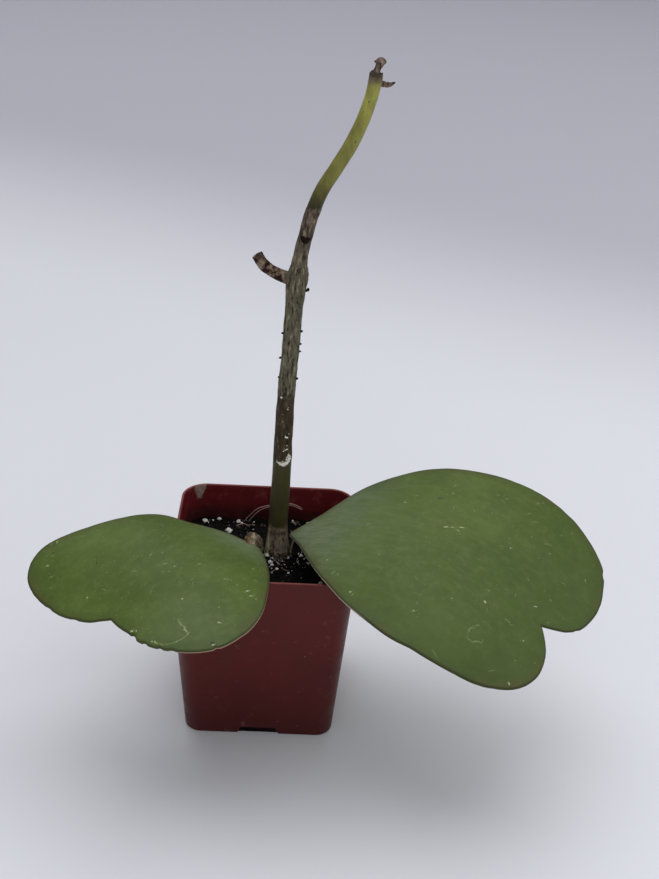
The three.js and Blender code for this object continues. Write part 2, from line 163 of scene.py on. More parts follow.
# The stem's tone at each height up to a last one. The pairs give where a zone's change
# begins and ends, in metres.
STEM_TONES = [
    (60, (96, 86, 76)), (66, (160, 148, 134)), (75, (150, 138, 118)), (77.8, (128, 116, 98)),
    (78.8, (80, 68, 52)), (79.8, (124, 112, 94)), (81.2, (104, 96, 74)), (82.6, (56, 52, 27)),
    (108, (68, 65, 36)), (112.5, (74, 66, 42)), (115, (72, 61, 41)), (126, (64, 53, 35)),
    (141.5, (67, 55, 39)), (144, (104, 97, 79)),
    (150, (102, 96, 76)), (172, (102, 98, 79)), (186, (98, 93, 73)), (196, (97, 90, 72)),
    (204, (104, 96, 78)), (211, (82, 70, 60)), (222, (116, 102, 86)), (223, (38, 32, 6)),
    (225.5, (60, 54, 12)), (229.5, (94, 90, 34)), (235, (130, 128, 58)), (247, (142, 139, 66)),
    (257, (150, 147, 66)), (265, (174, 174, 80)), (269, (160, 154, 78)), (270.6, (128, 114, 80)),
    (272.2, (94, 78, 56)), (273.6, (47, 34, 23)),
]
STEM_TONES_END = 280
FOOT_END = (0.0795, 0.0825)
BARK_START = (0.110, 0.116)
PALE_START = (0.141, 0.145)
MOTTLE_START = (0.204, 0.210)
BARK_END = (0.2215, 0.2235)
ARM_JOIN = (0.0035, 0.0052)

# Leaves, drawn flat from the base at (0, 0) to the notch and laid over an arched surface.
LEAF_HALF_THICKNESS = 1.35
MARGIN_HALF_THICKNESS = 0.65
MARGIN_ROUND = 0.85
MARGIN_POINTS = 480
BLADE_SHARES = 30
MARGIN_DEPTHS = [2.6, 1.8, 1.2, 0.85, 0.6, 0.4, 0.22, 0.08]
RIGHT_LEAF = {
    "base": (12.5, 2.6, 80.0),
    "turn": -26,
    "rise": (22, -28),
    "roll": (6, 9),
    "cup": (-0.04, -0.06),
    "length": 115,
    "middle": (68, 5),
    "far": [
        (-3.2, 0.2), (-2.2, 2.6), (5.5, 13.2), (18, 35.3), (32.5, 47.5), (46, 55), (60, 59.5),
        (73.5, 63), (89, 64.5), (106.5, 61), (123.5, 50), (130, 36), (132, 25), (130.5, 13), (126.5, 6),
        (121.5, 2), (116, -1.5),
    ],
    "near": [
        (-3.2, 0.2), (-1.8, -1.6), (6, -8.8), (23, -26.9), (37.3, -38.6), (48.5, -45), (66, -50.5),
        (80, -50.5), (93.5, -49), (107, -45.3), (116, -39.5), (122, -33), (125, -25), (125, -18), (123, -11),
        (119.5, -5.5), (116, -1.5),
    ],
}
LEFT_LEAF = {
    "base": (-5.4, -6.9, 80.0),
    "turn": 225,
    "rise": (26, -28),
    "roll": (-2, -7),
    "cup": (-0.02, -0.02),
    "length": 80,
    "middle": (45, 1),
    "far": [
        (0, 0), (4.5, -8), (10, -13), (20, -20), (26, -27), (34.5, -31.5), (43.5, -34.7),
        (54.5, -38.9), (69.5, -45), (78.5, -45), (85.3, -41), (89, -34.5), (90.3, -26),
        (89.6, -15.5), (85.6, -5), (82, -0.5), (79, 3),
    ],
    "near": [
        (0, 0), (-0.5, 4.5), (6, 14.5), (17.5, 28.5), (30, 40), (39, 46.3), (48.5, 49),
        (58.5, 47.4), (66, 42.7), (72.3, 34.8), (77, 25.5), (79, 18.5), (79, 12.5), (79.3, 7.5),
        (79, 3),
    ],
}
# Nicks in a leaf's margin: [u, v, depth, half width].
RIGHT_NICKS = [[126.6, 45.5, 0.5, 2.4], [128.6, 9.5, 0.35, 1.6], [100.0, 62.6, 0.3, 3.0]]
LEFT_NICKS = [
    [79.2, 16.0, 0.9, 1.5], [78.3, 21.5, 0.6, 1.3], [76.0, 27.5, 0.5, 1.2], [73.8, 32.0, 0.4, 1.6],
    [62.5, 45.3, 0.5, 1.2], [87.5, -9.5, 0.4, 1.8], [90.2, -22.0, 0.35, 2.0],
]
# Marks on a leaf: [u, v, direction in degrees, half length, half width, tone], where tone runs
# from 0, dark, to 1, pale.
RIGHT_MARKS = [
    [80.9, -19.1, 100, 0.75, 0.35, 0.8], [92.3, -11.3, 140, 1.0, 0.6, 0.95],
    [91.2, -5.3, 0, 0.5, 0.35, 0.8], [71.0, -34.3, 70, 0.9, 0.55, 0.85],
    [64.5, -18.3, 150, 1.4, 0.3, 0.65], [69.4, -25.3, 25, 1.6, 0.3, 0.6],
    [103.4, -11.9, 178, 2.3, 0.3, 0.75], [87.8, -46.7, 150, 2.4, 0.28, 0.65],
    [72.7, 48.8, 28, 1.5, 0.25, 0.62], [76.3, 48.9, 20, 0.7, 0.35, 0.75],
    [87.5, 56.8, 0, 0.8, 0.35, 0.7], [88.7, 22.6, 60, 0.6, 0.45, 0.9],
    [99.7, 37.4, 24, 1.2, 0.3, 0.75], [101.8, 41.0, 24, 1.1, 0.35, 0.2],
    [102.6, 33.6, 30, 0.8, 0.35, 0.8], [120.8, 34.7, 120, 1.3, 0.45, 0.75],
    [113.9, 24.9, 25, 1.0, 0.3, 0.6], [72.3, 58.8, 30, 1.0, 0.6, 0.15],
    [83.3, 59.1, 20, 0.8, 0.6, 0.35], [109.8, 4.2, 30, 0.75, 0.45, 0.95],
    [113.0, -14.6, 80, 0.65, 0.5, 0.85], [118.3, -35.6, 135, 1.1, 0.45, 0.9],
    [114.6, -24.7, 80, 0.7, 0.5, 0.6], [41.6, 24.1, 26, 1.0, 0.3, 0.95],
    [44.0, 30.7, 0, 0.5, 0.4, 0.75], [55.5, 44.2, 80, 0.6, 0.35, 0.75],
    [56.8, 38.5, 60, 0.6, 0.45, 0.8], [53.2, 32.6, 30, 1.3, 1.1, 0.22],
    [62.5, 15.4, 28, 1.3, 0.42, 0.97], [65.0, 17.0, 24, 1.0, 0.3, 0.9],
    [68.1, 19.2, 28, 1.5, 0.36, 0.97], [67.5, 16.5, 5, 1.1, 0.3, 0.88],
    [69.0, 14.8, 30, 1.0, 0.25, 0.7], [72.7, 3.5, 30, 0.6, 0.35, 0.1],
    [25.7, -20.4, 60, 0.55, 0.5, 0.85], [32.0, -27.8, 40, 1.0, 0.7, 0.7],
    [34.4, -28.6, 100, 0.8, 0.5, 0.7], [44.0, -37.0, 20, 0.9, 0.6, 0.92],
    [45.5, -38.0, 80, 0.6, 0.4, 0.8], [45.3, -12.4, 60, 0.6, 0.45, 0.8],
    [33.1, 5.3, 20, 0.9, 0.5, 0.75],
]
LEFT_MARKS = [
    [68.0, -42.6, 60, 0.8, 0.4, 0.85], [70.1, -43.8, 30, 0.7, 0.5, 0.7],
    [72.2, -39.6, 140, 1.1, 0.45, 0.1], [73.4, -38.8, 140, 0.9, 0.35, 0.7],
    [77.6, -36.9, 120, 1.0, 0.5, 0.85], [80.1, -31.7, 130, 0.8, 0.5, 0.75],
    [64.8, -21.1, 30, 0.7, 0.6, 0.15], [64.3, -20.6, 0, 0.35, 0.3, 0.8],
    [77.8, -12.0, 0, 0.6, 0.5, 0.9], [71.5, -9.3, 110, 1.1, 0.3, 0.7],
    [58.5, -5.6, 130, 1.3, 0.5, 0.7], [59.9, -36.4, 140, 1.1, 0.35, 0.65],
    [77.3, 13.5, 130, 0.9, 0.5, 1.0], [76.2, 14.9, 60, 0.6, 0.35, 0.9],
    [85.7, -7.8, 0, 0.5, 0.45, 0.05], [48.8, -7.6, 30, 0.7, 0.45, 0.8],
    [45.0, -5.2, 120, 0.8, 0.35, 0.75], [48.3, 0.5, 150, 1.3, 0.5, 0.75],
    [50.4, -0.8, 60, 0.6, 0.3, 0.7], [46.8, 4.4, 150, 0.8, 0.4, 0.85],
    [50.1, 5.1, 120, 0.7, 0.4, 0.75], [51.5, 3.4, 120, 1.3, 0.25, 0.65],
    [38.9, 9.8, 160, 1.0, 0.4, 0.8], [37.6, 11.6, 100, 0.6, 0.35, 0.7],
    [46.6, 14.7, 20, 1.2, 0.3, 0.65], [47.6, 16.4, 30, 1.2, 0.3, 0.65],
    [55.5, 19.2, 60, 0.6, 0.5, 0.95], [48.6, 32.6, 70, 0.6, 0.4, 0.8],
    [53.6, 38.0, 130, 1.2, 0.5, 0.9], [36.8, 22.8, 150, 1.2, 0.5, 0.75],
    [35.4, 24.6, 110, 0.8, 0.3, 0.7], [35.2, 28.0, 30, 0.7, 0.3, 0.65],
    [34.3, 33.0, 150, 0.8, 0.55, 0.97], [34.9, 36.0, 160, 1.3, 0.5, 0.85],
    [34.4, 38.3, 90, 0.7, 0.4, 0.75], [21.2, 22.2, 140, 0.8, 0.4, 0.8],
    [62.6, 44.2, 140, 0.7, 0.45, 1.0], [61.6, 42.4, 140, 1.3, 0.6, 0.1],
]
# Lines of raised scar tissue, as (u, v) points.
RIGHT_SCAR = [
    (95.5, -22.1), (93.7, -26.4), (93.8, -29.0), (94.4, -30.8), (95.8, -31.1), (97.1, -30.7),
    (99.6, -29.1), (100.4, -27.1),
]
LEFT_SCAR = [
    (62.8, 24.5), (63.7, 27.8), (64.3, 30.1), (64.8, 32.0), (66.6, 32.2), (68.9, 31.2),
    (71.3, 30.1), (73.5, 28.1), (75.2, 25.1), (75.3, 23.1),
]
RANDOM_MARKS = 150
RANDOM_TONES = [0.56, 0.6, 0.63, 0.66, 0.7, 0.35]
MARK_SIDES = 12
MARK_SPECKS = 4
# How near the margin a mark may lie, as a share of the way from the blade's middle.
MARK_REACH = 0.965
RANDOM_REACH = 0.95
MIDRIB_RUN = (-10.0, 140.0)
MIDRIB_STEP = 0.25
MARGIN_STEPS = 60
# The distance from the margin that the blade's middle point is given.
MIDDLE_EDGE = 30.0
STALK_FACING = (1.0, 0.3, 0.0)
# Where the left stalk is tan, in metres.
TAN_X = (-0.0066, -0.0052)
TAN_Y = (0.0075, 0.0055)
RIGHT_STALK_LINE = [
    [12.3, 8.1, 48.0, 1.7], [12.3, 8.1, 68.0, 1.7], [12.3, 7.3, 72.0, 1.7], [12.7, 5.2, 76.0, 1.8],
    [14.0, 2.2, 79.4, 1.7], [17.5, 0.2, 81.0, 1.3], [21.5, -1.8, 82.4, 0.8],
]
# A pale dry edge along the front of the right leaf's stalk.
RIGHT_STALK_RIDGE = [
    [10.6, 6.8, 67.0, 0.36], [11.0, 5.9, 71.0, 0.4], [11.6, 4.1, 75.0, 0.42],
    [12.4, 1.6, 78.6, 0.4], [13.2, 0.4, 80.2, 0.3],
]
LEFT_STALK_LINE = [
    [-3.4, 8.6, 48.0, 2.3], [-3.4, 8.6, 68.0, 2.5], [-4.0, 8.3, 71.5, 2.6], [-5.8, 5.8, 74.8, 2.7],
    [-6.3, 0.6, 77.2, 2.5], [-6.2, -5.2, 79.2, 2.1], [-9.0, -10.4, 81.2, 1.6],
    [-12.2, -13.6, 83.1, 1.1], [-15.0, -16.4, 84.6, 0.6],
]

# White grains that stand out on the soil: [x, y, radius].
PLACED_GRAINS = [
    [-12.9, 32.6, 1.35], [-11.6, 30.4, 0.7], [-17.1, 23.4, 1.5], [-28.1, 31.0, 1.3],
    [-21.8, 33.4, 1.0], [10.9, 33.2, 0.9], [18.4, 33.4, 1.2], [20.9, 33.0, 0.6], [0.9, 3.6, 1.35],
    [3.2, 2.4, 0.5], [2.3, -0.2, 1.1], [3.2, -2.4, 0.9], [5.8, 1.6, 0.6], [5.4, -5.1, 0.85],
    [9.9, 4.4, 0.9], [15.2, 6.0, 0.95], [15.8, 3.6, 0.7], [18.5, 0.5, 0.7], [10.2, -6.5, 0.6],
    [-1.6, 4.6, 0.7], [24.0, -13.1, 1.1],
]
# Dry root fibres on the soil: [points as (x, y, height above the soil), radius].
FIBRES = [
    [[(-11.0, 32.4, -0.4), (-9.0, 32.5, 1.9), (-7.2, 32.6, 4.0), (-4.9, 32.6, 6.6),
      (-2.0, 32.6, 8.7), (1.1, 32.6, 9.9), (5.3, 32.6, 10.3), (9.5, 32.6, 9.8),
      (12.0, 33.4, 8.7), (14.1, 34.6, 7.0), (15.3, 35.6, 5.4)], 0.19],
    [[(-9.2, 31.0, -0.4), (-7.4, 31.2, 2.4), (-5.3, 31.4, 5.3), (-3.3, 31.5, 7.4),
      (0.7, 31.5, 9.6), (4.5, 31.6, 9.9), (9.1, 32.3, 9.3), (10.9, 32.6, 8.7),
      (12.7, 32.8, 8.1), (14.9, 32.9, 7.2)], 0.17],
    [[(10.6, 33.0, 0.3), (11.6, 32.2, 0.7), (12.6, 31.1, 0.3)], 0.3],
    [[(-9.1, 28.7, 0.2), (-7.4, 29.3, 0.6), (-5.7, 29.7, 0.2)], 0.2],
    [[(3.6, 1.4, 0.2), (5.0, -0.6, 0.6), (6.6, -2.2, 0.1)], 0.2],
    [[(-14.0, 28.0, 0.0), (-11.0, 29.4, 0.6), (-8.4, 29.0, 0.1)], 0.18],
]


def lerp(low, high, share):
    return low + (high - low) * share


def smooth(low, high, value):
    share = np.clip((np.asarray(value, float) - low) / (high - low), 0.0, 1.0)
    return share * share * (3 - 2 * share)


def unit(angle):
    """The point of the unit circle at an angle."""
    return math.cos(angle), math.sin(angle)


def turned(points, direction):
    """Points (x, y) turned about the origin, from +X to a point of the unit circle."""
    c, s = direction
    return [(x * c - y * s, x * s + y * c) for x, y in points]


def grain(x, y, z, scale=1.0, octaves=1):
    """Smooth noise between -1 and 1 at a point, its lumps 1 / scale across."""
    total = 0.0
    for octave in range(octaves):
        reach = scale * 2**octave
        total += noise.noise(Vector((x * reach, y * reach, z * reach + 17.0 * octave))) / 2**octave
    return total


def ring_grain(angle, size, z, octaves=2):
    """Noise round a circle, so that it meets itself after a turn."""
    return grain(size * math.cos(angle), size * math.sin(angle), z, 1.0, octaves)


def paint(red, green, blue):
    """A screen colour from 0 to 255 as a shader's colour."""
    channels = [channel / 255 for channel in (red, green, blue)]
    return [c / 12.92 if c < 0.04 else ((c + 0.055) / 1.055) ** 2.4 for c in channels] + [1.0]


def placed(name, data):
    made = bpy.data.objects.new(name, data)
    bpy.context.scene.collection.objects.link(made)
    return made


def solid(name, points, faces, looks=()):
    """An object from points in millimetres."""
    mesh = bpy.data.meshes.new(name)
    mesh.from_pydata([[c * MM for c in point] for point in points], [], faces)
    for look in looks:
        mesh.materials.append(look)
    mesh.update()
    return placed(name, mesh)


def declare(made, node):
    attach(made, "root")
    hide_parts(node)


class Body:
    """Collects vertices and faces in millimetres and turns them into one piece."""

    def __init__(self):
        self.points = []
        self.faces = []
        self.slots = []
        self.values = {}

    def add(self, points, faces, slot=0, **values):
        first = len(self.points)
        self.points.extend(tuple(float(c) for c in point) for point in points)
        self.faces.extend(tuple(first + i for i in face) for face in faces)
        self.slots.extend([slot] * len(faces))
        for name, value in values.items():
            column = self.values.setdefault(name, {})
            for i in range(len(points)):
                column[first + i] = float(value if np.isscalar(value) else value[i])

    def piece(self, name, looks, node):
        made = solid(name, self.points, self.faces, looks)
        mesh = made.data
        mesh.polygons.foreach_set("material_index", self.slots)
        mesh.shade_smooth()
        for label, column in self.values.items():
            layer = mesh.attributes.new(label, "FLOAT", "POINT")
            layer.data.foreach_set("value", [column.get(i, 0.0) for i in range(len(self.points))])
        mesh.update()
        declare(made, node)
        return made


def loft_faces(rings, count, closed_ends=False):
    """Faces between rings of count points each, and fans to a point after each end if asked."""
    faces = []
    for r in range(rings - 1):
        for i in range(count):
            a = r * count + i
            b = r * count + (i + 1) % count
            faces.append((a, b, b + count, a + count))
    if closed_ends:
        first, top = rings * count, (rings - 1) * count
        for i in range(count):
            following = (i + 1) % count
            faces += [(first, following, i), (first + 1, top + i, top + following)]
    return faces


def evenly(places, count=None, spacing=1.0):
    """Evenly spread points along a fine row of places: count of them, or about spacing apart."""
    steps = np.linalg.norm(np.diff(places[:, :3], axis=0), axis=1)
    along = np.concatenate([[0.0], np.cumsum(steps)])
    wanted = np.linspace(0, along[-1], count or max(3, int(round(along[-1] / spacing)) + 1))
    return np.stack([np.interp(wanted, along, column) for column in places.T], 1)


def spline(line, spacing):
    """Points about spacing apart on a smooth curve through line, whatever else its rows hold."""
    rows = np.array(line, float)
    rows = np.vstack([2 * rows[0] - rows[1], rows, 2 * rows[-1] - rows[-2]])
    places = []
    for k in range(1, len(rows) - 2):
        p0, p1, p2, p3 = rows[k - 1 : k + 3]
        knots = [0.0]
        for a, b in ((p0, p1), (p1, p2), (p2, p3)):
            knots.append(knots[-1] + math.sqrt(np.linalg.norm(b[:3] - a[:3])))

        def between(p, q, low, high):
            return p + (q - p) * (t - knots[low]) / (knots[high] - knots[low])

        for t in np.linspace(knots[1], knots[2], CURVE_STEPS, endpoint=False):
            middle = between(p1, p2, 1, 2)
            before = between(between(p0, p1, 0, 1), middle, 0, 2)
            after = between(middle, between(p2, p3, 2, 3), 1, 3)
            places.append(between(before, after, 1, 2))
    return evenly(np.array(places + [rows[-2]]), spacing=spacing)


def bar(line, spacing, sides, relief=None, towards=(1.0, 0.0, 0.0)):
    """A round bar along [x, y, z, radius] points. relief(point, angle, radius) is added to the
    radius, and angles run anticlockwise from the direction that towards gives."""
    rows = spline(line, spacing)
    middles = rows[:, :3]
    tangents = np.gradient(middles, axis=0)
    tangents /= np.linalg.norm(tangents, axis=1)[:, None]
    first = np.array(towards) - tangents * (tangents @ np.array(towards))[:, None]
    first /= np.linalg.norm(first, axis=1)[:, None]
    second = np.cross(tangents, first)
    points = []
    for middle, radius, one, two in zip(middles, rows[:, 3], first, second):
        for i in range(sides):
            angle = 2 * math.pi * i / sides
            reach = radius + (relief(middle, angle, radius) if relief else 0.0)
            points.append(middle + (one * math.cos(angle) + two * math.sin(angle)) * reach)
    return points + [middles[0], middles[-1]], loft_faces(len(rows), sides, True)


def icosphere(divisions):
    """Points of a unit sphere and its triangles."""
    mesh = bpy.data.meshes.new("ball")
    made = bmesh.new()
    bmesh.ops.create_icosphere(made, subdivisions=divisions, radius=1.0)
    made.to_mesh(mesh)
    made.free()
    points = np.array([v.co[:] for v in mesh.vertices])
    faces = [tuple(p.vertices) for p in mesh.polygons]
    bpy.data.meshes.remove(mesh)
    return points, faces


BALLS = {divisions: icosphere(divisions) for divisions in (1, 2, 3)}


def lump(centre, radius, scale, turn, rough, divisions, seed):
    """An uneven rounded lump: radius in mm, stretched by scale and turned about Z."""
    points, faces = BALLS[divisions]
    bulges = [1 + rough * grain(x + seed, y - seed, z, 1.3, 2) for x, y, z in points]
    made = points * np.array(bulges)[:, None] * np.array(scale) * radius
    flat = turned(made[:, :2], unit(turn))
    return np.column_stack([flat, made[:, 2]]) + np.array(centre), faces


# Looks


class Look:
    """A node material round one Principled surface, its colour built up in layers."""

    def __init__(self, name, **constants):
        self.material = bpy.data.materials.new(name)
        self.material.use_nodes = True
        self.tree = self.material.node_tree
        self.surface = self.tree.nodes["Principled BSDF"]
        for socket, value in constants.items():
            self.surface.inputs[socket.replace("_", " ")].default_value = value
        self.place = self.tree.nodes.new("ShaderNodeTexCoord").outputs["Object"]
        self.x, self.y, self.z = self.add("ShaderNodeSeparateXYZ", {"Vector": self.place}).outputs
        self.colour = None

    def add(self, kind, inputs, **settings):
        made = self.tree.nodes.new(kind)
        for name, value in settings.items():
            setattr(made, name, value)
        for socket, value in inputs.items():
            if isinstance(value, bpy.types.NodeSocket):
                self.tree.links.new(value, made.inputs[socket])
            else:
                made.inputs[socket].default_value = value
        return made

    def value(self, name):
        return self.add("ShaderNodeAttribute", {}, attribute_name=name).outputs["Fac"]

    def math(self, operation, a, b=0.0, clamp=False):
        made = self.add("ShaderNodeMath", {0: a, 1: b}, operation=operation, use_clamp=clamp)
        return made.outputs[0]

    def plus(self, a, b, clamp=False):
        return self.math("ADD", a, b, clamp)

    def minus(self, a, b):
        return self.math("SUBTRACT", a, b)

    def times(self, product, *factors):
        for factor in factors:
            product = self.math("MULTIPLY", product, factor)
        return product

    def stretched(self, stretch, place):
        inputs = {0: place or self.place, 1: stretch}
        return self.add("ShaderNodeVectorMath", inputs, operation="MULTIPLY").outputs[0]

    def noise(self, scale, detail=2.0, roughness=0.5, stretch=(1.0, 1.0, 1.0), place=None):
        inputs = {"Vector": self.stretched(stretch, place), "Scale": scale, "Detail": detail}
        return self.add("ShaderNodeTexNoise", {**inputs, "Roughness": roughness}).outputs["Fac"]

    def cells(self, scale, stretch=(1.0, 1.0, 1.0)):
        inputs = {"Vector": self.stretched(stretch, None), "Scale": scale}
        return self.add("ShaderNodeTexVoronoi", inputs).outputs["Distance"]

    def window(self, value, low, high, start=0.0, end=1.0):
        """Runs smoothly from start to end while value runs from low to high."""
        inputs = {"Value": value, "From Min": low, "From Max": high, "To Min": start, "To Max": end}
        made = self.add("ShaderNodeMapRange", inputs, interpolation_type="SMOOTHSTEP")
        return made.outputs["Result"]

    def mix(self, share, first, second):
        made = self.add("ShaderNodeMix", {0: share, 6: first, 7: second}, data_type="RGBA")
        return made.outputs[2]

    def ramp(self, value, stops):
        """Starts the colour with [value, tone] stops."""
        made = self.add("ShaderNodeValToRGB", {"Fac": value})
        elements = made.color_ramp.elements
        while len(elements) < len(stops):
            elements.new(0.5)
        for element, (at, tone) in zip(elements, stops):
            element.position = at
            element.color = paint(*tone)
        self.colour = made.outputs["Color"]

    def blend(self, first, second, share, *window):
        """Starts the colour between two tones, by a share or the window of a value."""
        self.colour = paint(*first)
        self.layer(second, share, *window)

    def layer(self, tone, share, *window):
        """Covers the colour with a tone, by a share or the window of a value."""
        share = self.window(share, *window) if window else share
        self.colour = self.mix(share, self.colour, paint(*tone))

    def bump(self, height, distance, strength=1.0, under=None):
        inputs = {"Height": height, "Distance": distance, "Strength": strength}
        if under:
            inputs["Normal"] = under
        return self.add("ShaderNodeBump", inputs).outputs["Normal"]

    def done(self, surface=None, rough=None):
        for socket, value in (("Base Color", self.colour), ("Normal", surface), ("Roughness", rough)):
            if value:
                self.tree.links.new(value, self.surface.inputs[socket])
        return self.material


def grained_look(name, texture, relief, ramp=None, blend=None, **constants):
    """A finish whose tone and relief follow one noise: a ramp of stops, or a blend of tones."""
    look = Look(name, **constants)
    field = look.noise(*texture)
    if ramp:
        look.ramp(field, ramp)
    else:
        first, second, *window = blend
        look.blend(first, second, field, *window)
    return look.done(look.bump(field, *relief))


def pot_look(inside):
    """The red-brown plastic, or its scuffed and slightly pinker lining."""
    look = Look("pot_lining" if inside else "pot_plastic", IOR=1.49, Specular_IOR_Level=0.27)
    cloudy = look.noise(45.0, 3.0)
    if inside:
        look.blend((102, 28, 32), (142, 72, 72), look.noise(210.0, 4.0, 0.65), 0.55, 0.7, 0.0, 0.5)
        # The wall is darker just above the soil, in an uneven band.
        uneven = look.plus(look.z, look.times(look.noise(120.0, 3.0), 0.006))
        look.layer((38, 20, 20), uneven, *DARK_BAND_WALL, 0.75, 0.0)
        # A dry mineral crust on the back wall, near its left corner, narrower towards its foot.
        away = look.math("ABSOLUTE", look.minus(look.x, CRUST_X))
        half_width = look.window(look.z, 0.0745, 0.0815, 0.0002, 0.0027)
        ragged = look.times(look.minus(look.noise(650.0, 3.0), 0.5), 0.003)
        crust = look.window(look.plus(look.minus(away, half_width), ragged), -0.0003, 0.0003, 1.0, 0.0)
        back = look.times(look.window(look.z, 0.0755, 0.0765), look.window(look.y, 0.034, 0.0355))
        crusty = look.times(back, crust, look.window(look.noise(1400.0, 3.0, 0.6), 0.3, 0.55, 0.5, 0.9))
        look.layer((162, 142, 132), crusty)
    else:
        look.blend((83, 17, 13), (94, 21, 17), cloudy, 0.3, 0.7)
        # Painted shade: the plastic is darker towards the foot, where the floor shades it.
        look.layer((62, 8, 6), look.z, *SHADED_FOOT, 0.75, 0.0)
    # Painted highlight: the top of the rim is pale in patches, where it catches the light.
    wear_and_highlight = look.window(cloudy, 0.25, 0.6, 0.3, 0.7)
    look.layer((146, 84, 78), look.times(look.window(look.z, *LIT_RIM), wear_and_highlight))
    # Dusty splashes above the soil line and a few pale flecks all over.
    splash = look.window(look.noise(260.0, 5.0, 0.7), 0.6, 0.72, 0.0, 0.35)
    look.layer((130, 96, 88), look.times(splash, look.window(look.z, *SPLASHED_WALL, 1.0, 0.0)))
    flecks = look.window(look.cells(150.0), 0.035, 0.06, 0.55, 0.0)
    look.layer((160, 120, 112), look.times(flecks, look.window(look.noise(60.0, 1.0), 0.56, 0.6)))
    rough = look.window(look.noise(30.0, 4.0, 0.6, (1.0, 1.0, 4.0)), 0.3, 0.75, 0.34, 0.5)
    surface = look.bump(cloudy, 0.0006, 0.35, look.bump(look.noise(2600.0), 0.00003, 0.5))
    if inside:
        rough = look.plus(rough, look.times(crusty, 0.35), True)
        surface = look.bump(crusty, 0.0004, 0.8, surface)
    return look.done(surface, rough)


def drain_shade_look():
    """Painted shade: near-black on the drain channels' roofs, ribs and walls, under the pot."""
    tones = [(0.4, (9, 4, 3)), (0.65, (26, 12, 10))]
    shade_texture = (260.0, 3.0, 0.6)
    return grained_look("drain_painted_shade", shade_texture, (0.0003, 0.5), tones, Roughness=0.9, Specular_IOR_Level=0.1)


def earth_look():
    look = Look("potting_soil", Roughness=0.95, Specular_IOR_Level=0.12)
    lumps = look.noise(700.0, 5.0, 0.65)
    look.blend((3, 3, 3), (17, 14, 12), lumps, 0.35, 0.72)
    # Light chaff between the dark lumps.
    look.layer((84, 72, 60), look.noise(1500.0, 3.0, 0.6), 0.66, 0.72, 0.0, 0.5)
    return look.done(look.bump(lumps, 0.0008, 0.9))


def crumb_look():
    look = Look("bark_crumb", Roughness=0.9, Specular_IOR_Level=0.2)
    look.ramp(look.value("tone"), [(0.0, (4, 3, 3)), (0.75, (18, 14, 12)), (1.0, (92, 76, 60))])
    mottle = look.noise(1100.0, 4.0, 0.6)
    look.layer((10, 8, 7), mottle, 0.35, 0.8)
    return look.done(look.bump(mottle, 0.0003, 0.8))


def perlite_look():
    tones = ((176, 170, 164), (250, 249, 246), 0.34, 0.6)
    return grained_look("perlite", (1800.0, 4.0, 0.65), (0.0003, 0.9), blend=tones, Roughness=0.85)


def fibre_look():
    tones = ((118, 88, 82), (190, 160, 152))
    return grained_look("dry_fibre", (900.0, 2.0), (0.0001, 0.6), blend=tones, Roughness=0.75)


def stem_look():
    look = Look("stem_bark", Specular_IOR_Level=0.3)
    low, high = STEM_TONES[0][0] * MM, STEM_TONES_END * MM
    # The zones' borders wander a little round the stem.
    wander = look.times(look.minus(look.noise(330.0, 3.0, 0.6), 0.5), 0.007)
    height = look.plus(look.z, wander)
    share = look.math("DIVIDE", look.minus(height, low), high - low, True)
    look.ramp(share, [((z * MM - low) / (high - low), tone) for z, tone in STEM_TONES])
    below_green = look.window(height, *BARK_END, 1.0, 0.0)
    foot = look.window(height, *FOOT_END, 1.0, 0.0)
    barky = look.math("MAXIMUM", look.times(look.window(look.z, *BARK_START), below_green), foot)
    streaks = look.noise(1.0, 5.0, 0.66, (1000.0, 1000.0, 210.0))
    look.layer((38, 30, 20), look.times(look.window(streaks, 0.52, 0.62, 0.0, 0.88), barky))
    pale = look.window(streaks, 0.36, 0.47, 0.75, 0.0)
    look.layer((160, 152, 124), look.times(pale, barky, look.window(height, *PALE_START, 0.4, 1.0)))
    # Brown mottling above the side arm and on the foot.
    mottle = look.window(look.noise(420.0, 3.0, 0.6), 0.5, 0.6, 0.0, 0.6)
    upper = look.times(look.window(look.z, *MOTTLE_START), below_green)
    look.layer((64, 46, 36), look.times(mottle, look.math("MAXIMUM", upper, look.times(foot, 0.8))))
    # Small dark pores in patches.
    pores = look.window(look.cells(330.0, (1.0, 1.0, 0.6)), 0.09, 0.16, 0.7, 0.0)
    look.layer((62, 58, 28), look.times(pores, look.window(look.noise(120.0, 1.0), 0.5, 0.58)))
    # The smooth green lengths vary slightly round the stem.
    lengths = look.window(look.noise(1.0, 3.0, 0.6, (420.0, 420.0, 120.0)), 0.4, 0.7, 0.0, 0.4)
    look.layer((74, 72, 30), look.times(lengths, look.window(barky, 0.0, 1.0, 1.0, 0.0)))
    relief = look.plus(look.times(streaks, 2.0), look.times(look.noise(1400.0, 3.0, 0.6), 0.5))
    relief = look.times(relief, look.window(barky, 0.0, 1.0, 0.25, 1.0))
    return look.done(look.bump(relief, 0.0005, 0.7), look.window(barky, 0.0, 1.0, 0.48, 0.82))


def arm_look():
    look = Look("arm_bark", Roughness=0.85, Specular_IOR_Level=0.25)
    patches = look.noise(430.0, 3.0, 0.62, (0.8, 1.0, 0.8))
    tones = [(0.36, (24, 9, 7)), (0.48, (44, 22, 16)), (0.54, (88, 68, 54)), (0.64, (140, 124, 102))]
    look.ramp(patches, tones)
    # The arm takes the stem's tone where it joins it.
    look.layer((98, 91, 73), look.x, *ARM_JOIN)
    return look.done(look.bump(patches, 0.0007, 0.8))


def dry_look():
    tones = [(0.38, (40, 28, 22)), (0.48, (100, 82, 68)), (0.64, (154, 134, 118))]
    grime = (1.0, 4.0, 0.6, (700.0, 700.0, 260.0))
    return grained_look("dry_tip", grime, (0.0005, 0.8), tones, Roughness=0.8)


